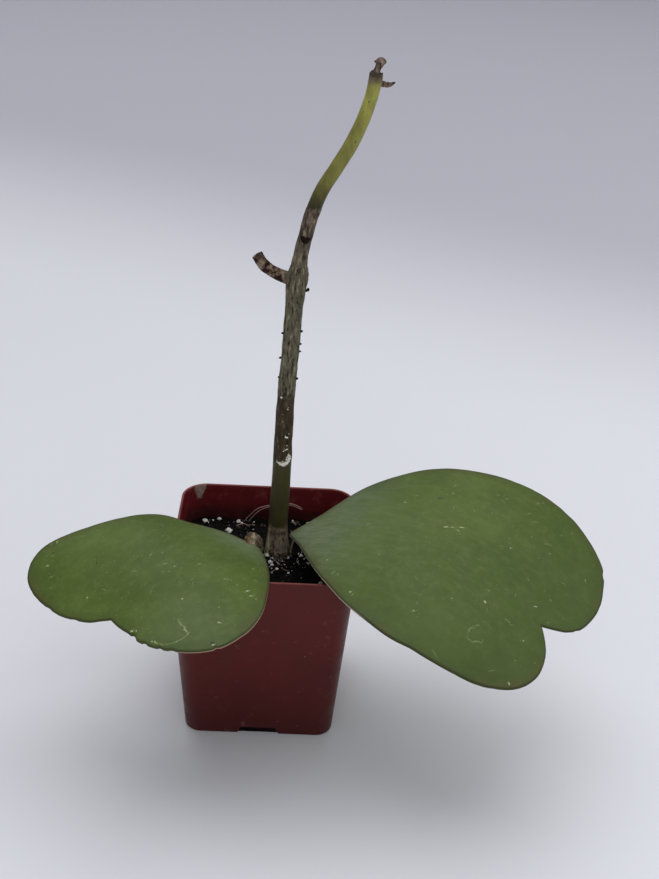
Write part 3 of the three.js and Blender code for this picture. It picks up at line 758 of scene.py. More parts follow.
def sheath_look():
    tones = ((104, 98, 78), (176, 170, 140), 0.36, 0.64)
    lines = (1.0, 4.0, 0.6, (560.0, 560.0, 120.0))
    return grained_look("dry_sheath", lines, (0.0006, 0.8), blend=tones, Roughness=0.8)


def dark_nub_look():
    matt = {"Roughness": 0.85, "Specular_IOR_Level": 0.1}
    tones = ((16, 9, 7), (44, 26, 20))
    return grained_look("root_nub", (1500.0, 3.0), (0.0002, 0.7), blend=tones, **matt)


def sap_look():
    tones = ((184, 176, 158), (255, 252, 242), 0.3, 0.6)
    return grained_look("dried_sap", (1700.0, 3.0), (0.0002, 0.6), blend=tones, Roughness=0.5)


def leaf_look(name, reach, sheen_reach, rim, shades, side_sheen):
    """In metres along the midrib: reach is the blade's length and the next argument how far the painted grey
    sheen spreads from the base. rim gives where the margin's painted highlight, a thin pale line, starts and
    ends to fade, how wide it is in mm, and its tone. shades are how much painted shade darkens the tip and
    the side at negative v, and the last argument how much painted grey sheen there is on the side at
    positive v, from 0 to 1."""
    look = Look(name, IOR=1.45, Specular_IOR_Level=0.3)
    highlight_low, highlight_high, highlight_width, highlight_tone = rim
    far_shade, near_shade = shades
    along, across, edge, under = (look.value(label) for label in ("u", "v", "edge", "under"))
    look.blend((70, 91, 27), (85, 105, 37), look.noise(26.0, 3.0, 0.55), 0.3, 0.7)
    cells = look.noise(330.0, 4.0, 0.65)
    look.layer((106, 124, 62), cells, 0.45, 0.75, 0.0, 0.4)
    patches = look.noise(125.0, 3.0, 0.6)
    look.layer((104, 122, 60), patches, 0.5, 0.72, 0.0, 0.22)
    look.layer((58, 78, 26), patches, 0.28, 0.48, 0.22, 0.0)
    # Faint streaks that run out from the stalk.
    flat = look.add("ShaderNodeCombineXYZ", {0: along, 1: across}).outputs[0]
    streaks = look.noise(1.0, 4.0, 0.6, (70.0, 330.0, 1.0), flat)
    look.layer((112, 130, 70), streaks, 0.5, 0.75, 0.0, 0.2)
    look.layer((58, 78, 22), streaks, 0.25, 0.45, 0.17, 0.0)
    # Painted shade on one side and the far end, which get less light, and painted grey sheen on the other
    # side.
    look.layer((56, 76, 22), across, -0.050, -0.010, near_shade, 0.0)
    look.layer((56, 76, 22), along, 0.55 * reach, 1.05 * reach, 0.0, far_shade)
    side_sheen_share = look.times(look.window(across, 0.004, 0.030), look.window(along, 0.040, 0.062), side_sheen)
    look.layer((116, 130, 96), side_sheen_share)
    # Painted sheen near the stalk: grey and streaky, where the blade reflects the light.
    base = look.plus(along, look.times(look.math("ABSOLUTE", across), 0.25))
    painted_sheen = look.window(base, 0.0, sheen_reach, 0.86, 0.0)
    patchy = look.window(look.noise(70.0, 4.0, 0.6), 0.25, 0.75, 0.55, 1.0)
    brushed = look.window(streaks, 0.35, 0.65, 0.6, 1.0)
    look.layer((128, 138, 116), look.times(painted_sheen, patchy, brushed))
    brush = look.noise(1.0, 4.0, 0.65, (150.0, 1100.0, 1.0), flat)
    look.layer((62, 76, 52), look.times(look.window(brush, 0.48, 0.68, 0.0, 0.62), painted_sheen))
    # Dull yellow-brown towards the margin, in patches.
    wear_and_highlight = look.window(look.noise(95.0, 3.0), 0.45, 0.62)
    look.layer((92, 88, 44), look.times(look.window(edge, 0.0, 5.0, 0.8, 0.0), wear_and_highlight))
    # The underside, the margin's painted shade and a painted highlight, the thin pale line near the base.
    look.layer((104, 118, 66), look.times(under, 0.8))
    look.layer((56, 66, 26), edge, 0.0, 7.0, 0.3, 0.0)
    look.layer((50, 52, 24), edge, 0.3, 1.5, 0.7, 0.0)
    near_base = look.window(along, highlight_low, highlight_high, 1.0, 0.0)
    look.layer(highlight_tone, look.times(near_base, look.window(edge, 0.2 * highlight_width, highlight_width, 1.0, 0.0)))
    surface = look.bump(cells, 0.00012, 0.7, look.bump(look.noise(42.0), 0.0009, 0.5))
    surface = look.bump(look.noise(1500.0), 0.00005, 0.6, surface)
    return look.done(surface, look.window(look.noise(48.0, 4.0, 0.6), 0.3, 0.75, 0.42, 0.56))


def scar_look():
    look = Look("leaf_scar", Roughness=0.6)
    look.ramp(look.value("tone"), [
        (0.0, (40, 40, 24)), (0.3, (66, 76, 38)), (0.5, (88, 106, 44)), (0.75, (122, 138, 82)),
        (1.0, (206, 208, 172)),
    ])
    broken = look.window(look.noise(2200.0, 3.0, 0.6), 0.35, 0.6, 0.45, 0.0)
    look.layer((92, 108, 54), broken)
    return look.done(look.bump(broken, 0.0001, 0.6))


def left_stalk_look():
    look = Look("corky_stalk", Roughness=0.8)
    wrinkles = look.noise(1.0, 4.0, 0.62, (520.0, 260.0, 520.0))
    look.blend((84, 74, 58), (164, 148, 122), wrinkles, 0.4, 0.62)
    # The part that bends forward is tan.
    tan = look.times(look.window(look.x, *TAN_X, 1.0, 0.0), look.window(look.y, *TAN_Y))
    bright = look.mix(look.window(wrinkles, 0.4, 0.6), paint(58, 40, 22), paint(120, 92, 54))
    look.colour = look.mix(tan, look.colour, bright)
    look.layer((46, 34, 26), look.noise(800.0), 0.64, 0.7)
    return look.done(look.bump(wrinkles, 0.0007, 0.85))


def shaded_stalk_look():
    # Painted shade: the thin stalk is near-black, as it lies in the leaf's shade.
    tones = ((22, 22, 16), (50, 50, 38), 0.35, 0.65)
    lines = (1.0, 3.0, 0.55, (700.0, 700.0, 160.0))
    return grained_look("thin_stalk_painted_shade", lines, (0.0004, 0.7), blend=tones, Roughness=0.7)


def floor_look():
    look = Look("pale_floor", Roughness=0.7, Specular_IOR_Level=0.2)
    # Painted shade: the floor darkens towards the back and the right, as the light falls off there.
    back = look.window(look.plus(look.y, look.times(look.x, 0.5)), 0.34, 0.80)
    colour = look.mix(back, (0.86, 0.87, 0.93, 1.0), (0.575, 0.575, 0.65, 1.0))
    wear = look.window(look.noise(6.0, 3.0), 0.3, 0.8, 0.0, 0.04)
    look.colour = look.mix(wear, colour, (0.6, 0.6, 0.6, 1.0))
    return look.done()


# Pot


def rounded_square(half, corner):
    """A square with round corners, as [x, y] points anticlockwise."""
    straight = half - corner
    arc = [unit((k / CORNER_STEPS) * math.pi / 2) for k in range(CORNER_STEPS + 1)]
    side = [(straight + corner * c, straight + corner * s) for c, s in arc]
    side += [(straight * (1 - 2 * k / SIDE_STEPS), half) for k in range(1, SIDE_STEPS)]
    return [point for quarter in QUARTERS for point in turned(side, quarter)]


def pot_size(z, inset=0.0):
    """Half the side of the pot's outline at a height, and the radius of its corners."""
    share = z / POT_HEIGHT
    half = lerp(POT_BASE_HALF, POT_TOP_HALF, share) - inset
    return half, lerp(POT_BASE_CORNER, POT_TOP_CORNER, share) - inset


def pot_ring(z, inset):
    half, corner = pot_size(z, inset)
    return [(x, y, z) for x, y in rounded_square(half, max(corner, 0.4))]


def beyond(x, y, straight):
    """How far (x, y) lies outside a square of half side straight."""
    return math.hypot(max(abs(x) - straight, 0.0), max(abs(y) - straight, 0.0))


def prism(name, foot, top, low, high):
    """A prism between two heights over [x, y] corners at the foot and at the top."""
    count = len(foot)
    points = [(x, y, low) for x, y in foot] + [(x, y, high) for x, y in top]
    ends = [tuple(reversed(range(count))), tuple(range(count, 2 * count))]
    return solid(name, points, ends + loft_faces(2, count))


def make_pot():
    foot_round = [unit(k / 6 * math.pi / 2) for k in range(7)]
    levels = [(POT_FOOT_ROUND * (1 - c), POT_FOOT_ROUND * (1 - s)) for c, s in foot_round]
    levels += [(z, 0.0) for z in np.linspace(8, POT_HEIGHT - 2.0, 12)]
    half_wall = POT_WALL / 2
    lip = [unit(k / 8 * math.pi) for k in range(9)]
    levels += [(POT_HEIGHT - half_wall * (1 - s), half_wall * (1 - c)) for c, s in lip]
    levels += [(z, POT_WALL) for z in np.linspace(POT_HEIGHT - 2.0, POT_INSIDE_FLOOR + 0.8, 10)]
    levels += [(POT_INSIDE_FLOOR + 0.25, POT_WALL + 0.2), (POT_INSIDE_FLOOR, POT_WALL + 0.8)]
    points = [point for level in levels for point in pot_ring(*level)]
    count = len(points) // len(levels)
    faces = loft_faces(len(levels), count)
    faces += [tuple(reversed(range(count))), tuple(range(len(points) - count, len(points)))]
    pot = solid("pot_shell", points, faces)
    cutters = []
    slope = (DRAIN_FOOT_HALF - DRAIN_ROOF_HALF) / DRAIN_HEIGHT
    low = -1.0
    wide = DRAIN_FOOT_HALF - slope * low
    # A low rib stands across each channel, just behind the notch.
    spans = [(-2.0, DRAIN_RIB_INSET), (DRAIN_RIB_INSET + POT_WALL, DRAIN_LENGTH)]
    circle = [unit(a) for a in np.linspace(0, 2 * math.pi, HOLE_SIDES, endpoint=False)]
    centre = DRAIN_HOLE_INSET - POT_BASE_HALF
    hole = [(DRAIN_HOLE_RADIUS * c, centre + DRAIN_HOLE_RADIUS * s) for c, s in circle]
    for quarter in QUARTERS:
        for start, end in spans:
            near, far = start - POT_BASE_HALF, end - POT_BASE_HALF
            foot = [(-wide, near), (wide, near), (wide, far), (-wide, far)]
            top = [(math.copysign(DRAIN_ROOF_HALF, x), y) for x, y in foot]
            rings = turned(foot, quarter), turned(top, quarter)
            cutters.append(prism("channel", *rings, low, DRAIN_HEIGHT))
        ring = turned(hole, quarter)
        cutters.append(prism("hole", ring, ring, DRAIN_HEIGHT - 0.5, POT_INSIDE_FLOOR + 1))
    for cutter in cutters:
        cut = pot.modifiers.new("cut", "BOOLEAN")
        cut.object = cutter
        cut.operation = "DIFFERENCE"
        cut.solver = "EXACT"
    soften = pot.modifiers.new("soften", "BEVEL")
    soften.width = POT_EDGE_ROUND * MM
    soften.segments = 2
    soften.limit_method = "ANGLE"
    soften.angle_limit = math.radians(50)
    finished = bpy.data.meshes.new_from_object(pot.evaluated_get(bpy.context.evaluated_depsgraph_get()))
    pot.modifiers.clear()
    pot.data = finished
    for cutter in cutters:
        bpy.data.objects.remove(cutter)
    for look in (pot_look(False), pot_look(True), drain_shade_look()):
        finished.materials.append(look)
    for face in finished.polygons:
        x, y, z = (c / MM for c in face.center)
        half, corner = pot_size(z)
        deep = corner - beyond(x, y, half - corner) > POT_WALL / 2
        if deep and z > POT_INSIDE_FLOOR - 0.1:
            face.material_index = 1
        # The drain channels' faces take the painted shade.
        elif deep and 0.05 < z < DRAIN_HEIGHT + 0.1:
            face.material_index = 2
    finished.shade_smooth()
    finished.set_sharp_from_angle(angle=math.radians(35))
    declare(pot, "pot")


# Soil


def soil_height(x, y):
    stem_x, stem_y = STEM_LINE[0][:2]
    wave = SOIL_WAVE * math.sin(0.31 * x + 0.8) * math.cos(0.27 * y)
    ripple = SOIL_RIPPLE * math.sin(0.53 * y - 0.4 * x)
    mound = SOIL_MOUND * math.exp(-((x - stem_x) ** 2 + (y - stem_y) ** 2) / 160)
    return SOIL_LEVEL + wave + ripple + mound


def on_soil(x, y, lift=0.0):
    """A point over the rough soil."""
    rough = 0.7 * grain(x, y, 0.0, 0.35, 3) + 0.45 * grain(x + 40, y, 3.0, 1.1, 2)
    return x, y, soil_height(x, y) + SOIL_ROUGHNESS * rough + lift


def round_stem(angle, reach):
    c, s = unit(angle)
    return STEM_LINE[0][0] + reach * c, STEM_LINE[0][1] + reach * s


def make_soil():
    rng = random.Random(SEED)
    body = Body()
    half, corner = pot_size(SOIL_LEVEL, POT_WALL + GAP)
    straight = half - corner
    earth, crumbs, perlite, fibres = range(4)

    def edge_share(a, b):
        """How far the rounded outline reaches towards (a, b), as a share of the square."""
        most = max(abs(a), abs(b))
        if most < 1e-9:
            return 1.0
        x, y = abs(a) / most * half, abs(b) / most * half
        if min(x, y) <= straight * 1.0001:
            return 1.0
        low, high = 0.0, 1.0
        for _ in range(24):
            k = (low + high) / 2
            low, high = (k, high) if beyond(x * k, y * k, straight) < corner else (low, k)
        return low

    side = SOIL_CELLS + 1
    steps = [2 * i / SOIL_CELLS - 1 for i in range(side)]
    points = []
    for b in steps:
        for a in steps:
            pull = lerp(1.0, edge_share(a, b), max(abs(a), abs(b)) ** 4)
            points.append(on_soil(a * half * pull, b * half * pull))
    cells = [j * side + i for j in range(SOIL_CELLS) for i in range(SOIL_CELLS)]
    faces = [(k, k + 1, k + side + 1, k + side) for k in cells]
    rim = list(range(side))
    rim += [j * side + SOIL_CELLS for j in range(1, side)]
    rim += [SOIL_CELLS * side + i for i in range(SOIL_CELLS - 1, -1, -1)]
    rim += [j * side for j in range(SOIL_CELLS - 1, 0, -1)]
    shrink = pot_size(SOIL_FOOT, POT_WALL + GAP)[0] / half
    first, last = len(points), len(points) + len(rim)
    points += [(points[k][0] * shrink, points[k][1] * shrink, SOIL_FOOT) for k in rim]
    for n, k in enumerate(rim):
        m = (n + 1) % len(rim)
        faces.append((rim[m], k, first + n, first + m))
    faces.append(tuple(reversed(range(first, last))))
    body.add(points, faces, earth)

    def clear(x, y, margin):
        """Whether (x, y) lies on the soil, away from the stems and the pot's wall."""
        feet = [STEM_LINE[2], LEFT_STALK_LINE[1], RIGHT_STALK_LINE[1]]
        if beyond(x, y, straight) > corner - 1.1:
            return False
        return all(math.hypot(x - fx, y - fy) > fr + margin for fx, fy, _, fr in feet)

    def scatter(count, reach, place):
        made = 0
        while made < count:
            x, y = rng.uniform(-reach, reach), rng.uniform(-reach, reach)
            if clear(x, y, 0.4):
                place(x, y)
                made += 1

    def crumb(x, y):
        radius = 0.35 + 0.95 * rng.random() ** 2.2
        stretch = (1.0, rng.uniform(0.5, 1.0), rng.uniform(0.5, 0.9))
        at, turn = on_soil(x, y, 0.1 * radius), rng.uniform(0, 3.1)
        made = lump(at, radius, stretch, turn, 0.5, 2 if radius > 0.7 else 1, 9 * rng.random())
        body.add(*made, crumbs, tone=rng.random() ** 1.6)

    def white(x, y, radius, flat=0.8, divisions=2):
        stretch = (1.0, rng.uniform(0.6, 0.95), flat)
        at, turn = on_soil(x, y, 0.2 * radius), rng.uniform(0, 3.1)
        body.add(*lump(at, radius, stretch, turn, 0.45, divisions, 9 * rng.random()), perlite)

    scatter(CRUMBS, half - 1.4, crumb)
    scatter(SMALL_GRAINS, half - 1.0, lambda x, y: white(x, y, 0.14 + 0.34 * rng.random() ** 2, 0.8, 1))
    for x, y, radius in PLACED_GRAINS:
        white(x, y, 0.8 * radius, 0.8, 3)
        for _ in range(GRAIN_KNOBS):
            c, s = unit(rng.uniform(0, 2 * math.pi))
            reach = 0.62 * radius
            white(x + reach * c, y + reach * s, radius * rng.uniform(0.3, 0.55))
    for _ in range(BASE_CHIPS):
        x, y = round_stem(rng.uniform(-2.9, 0.2), 4.9 + 11.0 * rng.random() ** 1.6)
        if clear(x, y, 0.2):
            white(x, y, 0.16 + 0.42 * rng.random() ** 2.5, 0.6, 1)
    # Flakes of dead bark that lie against the stem's foot.
    for k in range(FOOT_FLAKES):
        angle = math.radians(lerp(-165, -5, k / (FOOT_FLAKES - 1)))
        lift = [0.3, 1.2, 2.0][k % 3] + rng.uniform(-0.2, 0.3)
        at = on_soil(*round_stem(angle, 5.9 - 0.4 * lift), lift)
        turn = angle + math.pi / 2 + rng.uniform(-0.7, 0.7)
        flake = lump(at, rng.uniform(0.6, 1.0), (1.7, 0.5, 0.7), turn, 0.4, 2, 5.0 * k)
        body.add(*flake, crumbs, tone=1.0)
    for line, radius in FIBRES:
        rows = [[x, y, soil_height(x, y) + lift, radius] for x, y, lift in line]
        body.add(*bar(rows, 0.5, 7, lambda p, a, r: 0.05 * grain(*p, 0.8), (0.0, 1.0, 0.2)), fibres)
    for _ in range(LOOSE_FIBRES):
        x, y = rng.uniform(-24, 26), rng.uniform(-26, 32)
        c, s = unit(rng.uniform(0, math.pi))
        length = rng.uniform(1.5, 3.6)
        if clear(x, y, length + 0.5):
            rows = []
            for k in (-1, 0, 1):
                px, py = x + k * length * c, y + k * length * s + 0.3 * k * k
                rows.append([px, py, soil_height(px, py) + 0.35, 0.1 - 0.04 * abs(k)])
            body.add(*bar(rows, 0.5, 6, None, (0.3, 0.2, 1.0)), fibres)
    body.piece("soil_bed", [earth_look(), crumb_look(), perlite_look(), fibre_look()], "soil")


# Stem


def stem_relief(point, angle, radius):
    z = point[2]
    if z < PLAIN_BELOW:
        return 0.0
    x, y = unit(angle)
    barky = float(smooth(108, 118, z) * (1 - smooth(219, 226, z)))
    foot = float(1 - smooth(71, 83, z))
    tip = float(smooth(267.5, 270.5, z))
    out = (0.05 + 0.2 * barky + 0.3 * foot + 0.1 * tip) * ring_grain(angle, 3.2, 0.09 * z, 3)
    out += (0.04 + 0.14 * barky + 0.3 * foot + 0.16 * tip) * ring_grain(angle, 1.6, 0.22 * z)
    out += 0.12 * grain(1.0, 2.0, 0.05 * z) + 0.5 * foot
    for level, depth, width in STEM_GROOVES:
        drop = level + 0.9 * grain(x, y, level, 1.3)
        out -= depth * math.exp(-(((z - drop) / width) ** 2)) * (0.6 + 0.4 * grain(x, y, 5.0, 2.0))
    return out


def arm_relief(point, angle, radius):
    x, y, z = point
    c, s = unit(angle)
    return 0.3 * grain(x * 0.35, 2.6 * c, 2.6 * s, 1.0, 3) + 0.12 * grain(x, y + 3 * c, z + 3 * s, 0.8)


def sheath_relief(point, angle, radius):
    return 0.25 * grain(*(point * 0.4), 1.0, 2)


def dry_relief(point, angle, radius):
    return 0.22 * ring_grain(angle, 2.2, 0.5 * point[2])


def bract_relief(point, angle, radius):
    """Flattens the dry bract and runs a groove along its upper side."""
    groove = 0.2 * math.exp(-(((angle - math.pi / 2) / 0.4) ** 2))
    return radius * (-0.5 * abs(math.cos(angle)) - groove) + 0.08 * grain(*point, 1.2)


def make_stem():
    rng = random.Random(SEED + 1)
    body = Body()
    bark, arm, sap, dry, sheath, dark = range(6)
    body.add(*bar(STEM_LINE, 0.42, 60, stem_relief), bark)
    points, faces = bar(ARM_LINE, 0.4, 40, arm_relief, (0.0, -1.0, 0.0))
    points[-1] = points[-1] + np.array([0.35, 0.0, -0.55])
    body.add(points, faces, arm)
    body.add(*bar(SHEATH_LINE, 0.4, 20, sheath_relief), sheath)

    # The ragged collar round the dried tip.
    top_x, top_y, top_z = np.array(STEM_LINE[-1][:3]) - [0.0, 0.0, COLLAR_DROP]
    tilt = Vector(np.subtract(STEM_LINE[-1], STEM_LINE[-2])[:3]).normalized()
    lean = Vector((0, 0, 1)).rotation_difference(tilt).to_matrix()
    rim = []

    def collar(x, y, z):
        local = lean @ Vector((x, y, z))
        rim.append((top_x + local.x, top_y + local.y, top_z + local.z))

    for radius, lift in COLLAR_RINGS:
        for i in range(COLLAR_SIDES):
            angle = 2 * math.pi * i / COLLAR_SIDES
            bulge = radius + 0.25 * ring_grain(angle, 3, lift)
            ragged = 0.55 * ring_grain(angle, 2.4, 7.0, 3) * smooth(-0.8, 1.2, lift)
            collar(bulge * math.cos(angle), bulge * math.sin(angle), lift + ragged)
    for radius, lift in (COLLAR_RINGS[0], COLLAR_RINGS[-1]):
        collar(0, 0, lift)
    body.add(rim, loft_faces(len(COLLAR_RINGS), COLLAR_SIDES, True), bark)

    body.add(*bar(DRY_NECK_LINE, 0.25, 28, dry_relief), dry)
    hx, hy, hz = DRY_HEAD_AT
    body.add(*lump((hx - 0.1, hy, hz - 0.1), 1.65, (1.12, 0.95, 0.82), 0.0, 0.22, 3, 2.0), dry)
    body.add(*lump((hx - 1.7, hy, hz - 0.35), 0.75, (1.3, 1.0, 0.75), 0.2, 0.35, 2, 4.0), dry)
    body.add(*bar(DRY_BRACT_LINE, 0.2, 24, bract_relief, (0.0, 1.0, 0.0)), dry)

    rows = np.array(STEM_LINE)

    def knob(height, degrees, out, size, stretch, rough, divisions, seed, slot):
        """A lump on the stem, its middle out mm from the bark."""
        x, y, radius = (float(np.interp(height, rows[:, 2], rows[:, c])) for c in (0, 1, 3))
        angle = math.radians(degrees)
        reach = radius + out
        at = (x + reach * math.cos(angle), y + reach * math.sin(angle), height)
        body.add(*lump(at, size, stretch, angle, rough, divisions, seed), slot)

    for height, degrees, size in NUBS:
        knob(height, degrees, 0.15, 0.75 * size, (1.25, 0.75, 0.85), 0.4, 2, height, dark)
    knob(*SPUR_AT, 0.9, 0.55, (1.1, 0.7, 1.5), 0.3, 2, 3.0, dark)
    for height, degrees, size in STEM_SCARS:
        knob(height, degrees, -0.16 * size, size, (0.5, 1.0, 0.85), 0.35, 2, height, dark)
    for height, degrees, size in STEM_DIMPLES:
        knob(height, degrees, -0.1 * size, size, (0.5, 1.0, 1.0), 0.3, 1, height, dry)
    for height, degrees, size in SAP_BEADS:
        knob(height, degrees, -0.05, size, (0.62, 1.0, 0.78), 0.4, 2, height, sap)
        near = degrees + rng.uniform(-9, 9)
        level = height + rng.uniform(-0.8, 0.8)
        knob(level, near, -0.05, 0.45 * size, (0.6, 1.0, 0.8), 0.4, 1, degrees, sap)
    looks = [stem_look(), arm_look(), sap_look(), dry_look(), sheath_look(), dark_nub_look()]
    body.piece("woody_stem", looks, "stem")


# Leaves


def eased(pair, leaf, u):
    return lerp(*pair, smooth(0, leaf["length"], u))


def leaf_points(leaf, u, v, h):
    """Points at u along the midrib, v across it and h above the leaf's middle surface."""
    u, v, h = (np.asarray(value, float) for value in (u, v, h))
    c, s = unit(math.radians(leaf["turn"]))
    along, across, up = np.array([[c, s, 0.0], [-s, c, 0.0], [0.0, 0.0, 1.0]])
    steps = np.arange(*MIDRIB_RUN, MIDRIB_STEP)
    slope = np.radians(eased(leaf["rise"], leaf, steps + MIDRIB_STEP / 2))
    start = int(np.argmin(np.abs(steps)))

    def run(share):
        """How far the midrib has gone at u, from its rate at each step."""
        gone = np.concatenate([[0.0], np.cumsum(share * MIDRIB_STEP)])[:-1]
        return np.interp(u, steps, gone - gone[start])[..., None]

    rise, roll = (np.radians(eased(leaf[name], leaf, u))[..., None] for name in ("rise", "roll"))
    upright = up * np.cos(rise) - along * np.sin(rise)
    sideways = across * np.cos(roll) + upright * np.sin(roll)
    normal = upright * np.cos(roll) - across * np.sin(roll)
    sag = eased(leaf["cup"], leaf, u) * v * v / 100
    middle = np.array(leaf["base"]) + run(np.cos(slope)) * along + run(np.sin(slope)) * up
    return middle + sideways * v[..., None] + normal * (sag + h)[..., None]


def edge_curve(edge, count):
    """Evenly spaced points on a smooth curve through the edge's points, without its last."""
    rows = np.array(edge, float)
    rows = np.vstack([rows[0], rows, rows[-1]])
    places = []
    for k in range(1, len(rows) - 2):
        p0, p1, p2, p3 = rows[k - 1 : k + 3]
        v0, v1 = (p2 - p0) / 2, (p3 - p1) / 2
        for t in np.linspace(0, 1, MARGIN_STEPS, endpoint=False):
            cubic = (2 * p1 - 2 * p2 + v0 + v1) * t**3
            places.append(cubic + (-3 * p1 + 3 * p2 - 2 * v0 - v1) * t**2 + v0 * t + p1)
    return evenly(np.array(places + [rows[-2]]), count + 1)[:-1]


def leaf_outline(leaf, middle, nicks):
    near = edge_curve(leaf["near"], MARGIN_POINTS // 2)
    outline = np.vstack([near, edge_curve(leaf["far"][::-1], MARGIN_POINTS // 2)])
    x, y = outline.T
    if np.sum(x * np.roll(y, -1) - np.roll(x, -1) * y) < 0:
        outline = outline[::-1]
    inward = middle - outline
    inward /= np.linalg.norm(inward, axis=1)[:, None]
    for k, (u, v) in enumerate(outline):
        bite = 0.22 * max(0.0, grain(u, v, 2.0, 0.16, 3))
        for nu, nv, depth, width in nicks:
            bite += depth * max(0.0, 1 - (math.hypot(u - nu, v - nv) / width) ** 2)
        outline[k] += inward[k] * bite
    return outline


def waves(leaf, u, v):
    """Gentle waves of the blade, none at the margin's own scale."""
    slow = np.sin(0.062 * u + 0.05 * v + leaf["turn"]) * np.cos(0.071 * v - 0.03 * u)
    return 0.45 * slow * smooth(8, 30, u)


def half_thickness(share):
    return lerp(MARGIN_HALF_THICKNESS, LEAF_HALF_THICKNESS, 1 - share**2)


def make_leaf(name, node, leaf, nicks, marks, scar, scar_tone, stalk, stalk_relief, ridge, looks, seed):
    rng = random.Random(seed)
    body = Body()
    blade, scars, stalk_slot = range(3)
    middle = np.array(leaf["middle"], float)
    outline = leaf_outline(leaf, middle, nicks)
    spokes = outline - middle
    reach = np.linalg.norm(spokes, axis=1)
    count = len(outline)

    last = 1 - MARGIN_DEPTHS[0] / reach
    shares = [(k / BLADE_SHARES) ** 0.9 * last for k in range(1, BLADE_SHARES + 1)]
    shares += [1 - depth / reach for depth in MARGIN_DEPTHS[1:]]
    rings = []

    def ring(share, sign):
        depth = (1 - share) * reach
        bend = np.clip(depth / MARGIN_ROUND, 0, 1)
        height = sign * half_thickness(share) * np.sqrt(1 - (1 - bend) ** 2)
        rings.append((*(middle + spokes * share[:, None]).T, height, depth, np.full(count, (1 - sign) / 2)))

    for share in shares:
        ring(share, -1)
    ring(np.ones(count), 0)
    for share in reversed(shares):
        ring(share, 1)
    us, vs, heights, edges, unders = (np.concatenate(column) for column in zip(*rings))
    points = list(leaf_points(leaf, us, vs, heights + waves(leaf, us, vs)))
    for sign in (-1, 1):
        points.append(leaf_points(leaf, *middle, sign * LEAF_HALF_THICKNESS + waves(leaf, *middle)))
    body.add(
        points,
        loft_faces(len(rings), count, True),
        blade,
        u=np.append(us, [middle[0]] * 2) * MM,
        v=np.append(vs, [middle[1]] * 2) * MM,
        edge=np.append(edges, [MIDDLE_EDGE] * 2),
        under=np.append(unders, [1.0, 0.0]),
    )
    angles = np.arctan2(spokes[:, 1], spokes[:, 0])
    order = np.argsort(angles)

    def share_at(u, v):
        """How far (u, v) lies from the middle towards the outline, 0 to 1."""
        angle = np.arctan2(v - middle[1], u - middle[0])
        far = np.interp(angle, angles[order], reach[order], period=2 * math.pi)
        return np.hypot(u - middle[0], v - middle[1]) / far

    def mark(u, v, degrees, half_length, half_width, tone):
        """A low blister on the leaf's upper side."""
        height = 0.05 + 0.08 * half_width
        flat, rises = [], []
        for spread, rise in [(1.0, -0.05), (0.72, 0.6 * height)]:
            for k in range(MARK_SIDES):
                x, y = unit(2 * math.pi * k / MARK_SIDES)
                wobble = spread * (1 + 0.3 * grain(x, y, u + v, 1.5))
                flat.append((half_length * x * wobble, half_width * y * wobble))
                rises.append(rise)
        spots = np.array(turned(flat, unit(math.radians(degrees))) + [(0.0, 0.0)]) + [u, v]
        us, vs = spots.T
        lift = half_thickness(share_at(us, vs)) + waves(leaf, us, vs) + np.array(rises + [height])
        tip = 2 * MARK_SIDES
        faces = loft_faces(2, MARK_SIDES)
        faces += [(tip, MARK_SIDES + k, MARK_SIDES + (k + 1) % MARK_SIDES) for k in range(MARK_SIDES)]
        faces.append(tuple(reversed(range(MARK_SIDES))))
        body.add(list(leaf_points(leaf, us, vs, lift)), faces, scars, tone=tone)

    def inside(u, v):
        """(u, v), drawn in from the margin if it lies too near it."""
        pull = min(1.0, MARK_REACH / max(float(share_at(u, v)), 1e-6))
        return middle[0] + (u - middle[0]) * pull, middle[1] + (v - middle[1]) * pull

    for u, v, degrees, half_length, half_width, tone in marks:
        u, v = inside(u, v)
        mark(u, v, degrees, 0.8 * half_length, 0.8 * half_width, tone)
        for _ in range(MARK_SPECKS):
            away = rng.uniform(-1.5, 1.5) * half_length, rng.uniform(-1.6, 1.6) * half_width
            x, y = turned([away], unit(math.radians(degrees)))[0]
            size = rng.uniform(0.2, 0.5)
            heading = degrees + rng.uniform(-50, 50)
            speck = size * half_length, 1.2 * size * half_width
            mark(*inside(u + x, v + y), heading, *speck, lerp(0.55, tone, rng.uniform(0.2, 0.8)))
    made = 0
    lows, highs = outline.min(axis=0), outline.max(axis=0)
    while made < RANDOM_MARKS:
        u, v = rng.uniform(lows[0], highs[0]), rng.uniform(lows[1], highs[1])
        if share_at(u, v) > RANDOM_REACH:
            continue
        long = rng.random() < 0.35
        size = 0.18 + 0.22 * rng.random() ** 2
        length = size * (rng.uniform(2.5, 5.0) if long else rng.uniform(1.0, 1.6))
        tone = rng.choice(RANDOM_TONES)
        mark(u, v, rng.uniform(0, 180), length, size * (0.6 if long else 1.0), tone)
        made += 1

    # The long scar is a chain of raised streaks of changing width.
    rows = spline([[u, v, 0.0] for u, v in scar], 0.45)
    for (u0, v0, _), (u1, v1, _) in zip(rows, rows[1:]):
        heading = math.degrees(math.atan2(v1 - v0, u1 - u0))
        width = max(0.15, 0.42 + 0.3 * grain(u0, v0, 4.0, 0.7))
        tone = min(0.95, scar_tone + 0.2 * grain(u0, v0, 9.0, 0.35))
        aside = rng.uniform(-0.35, 0.35)
        mark((u0 + u1) / 2 + aside, (v0 + v1) / 2 - aside, heading, rng.uniform(0.3, 0.55), width, tone)
    body.add(*bar(stalk, 0.35, 36, stalk_relief, STALK_FACING), stalk_slot)
    if ridge:
        body.add(*bar(ridge, 0.3, 12, None, STALK_FACING), scars, tone=0.97)
    made = body.piece(name, looks, node)
    made.data.set_sharp_from_angle(angle=math.radians(120))


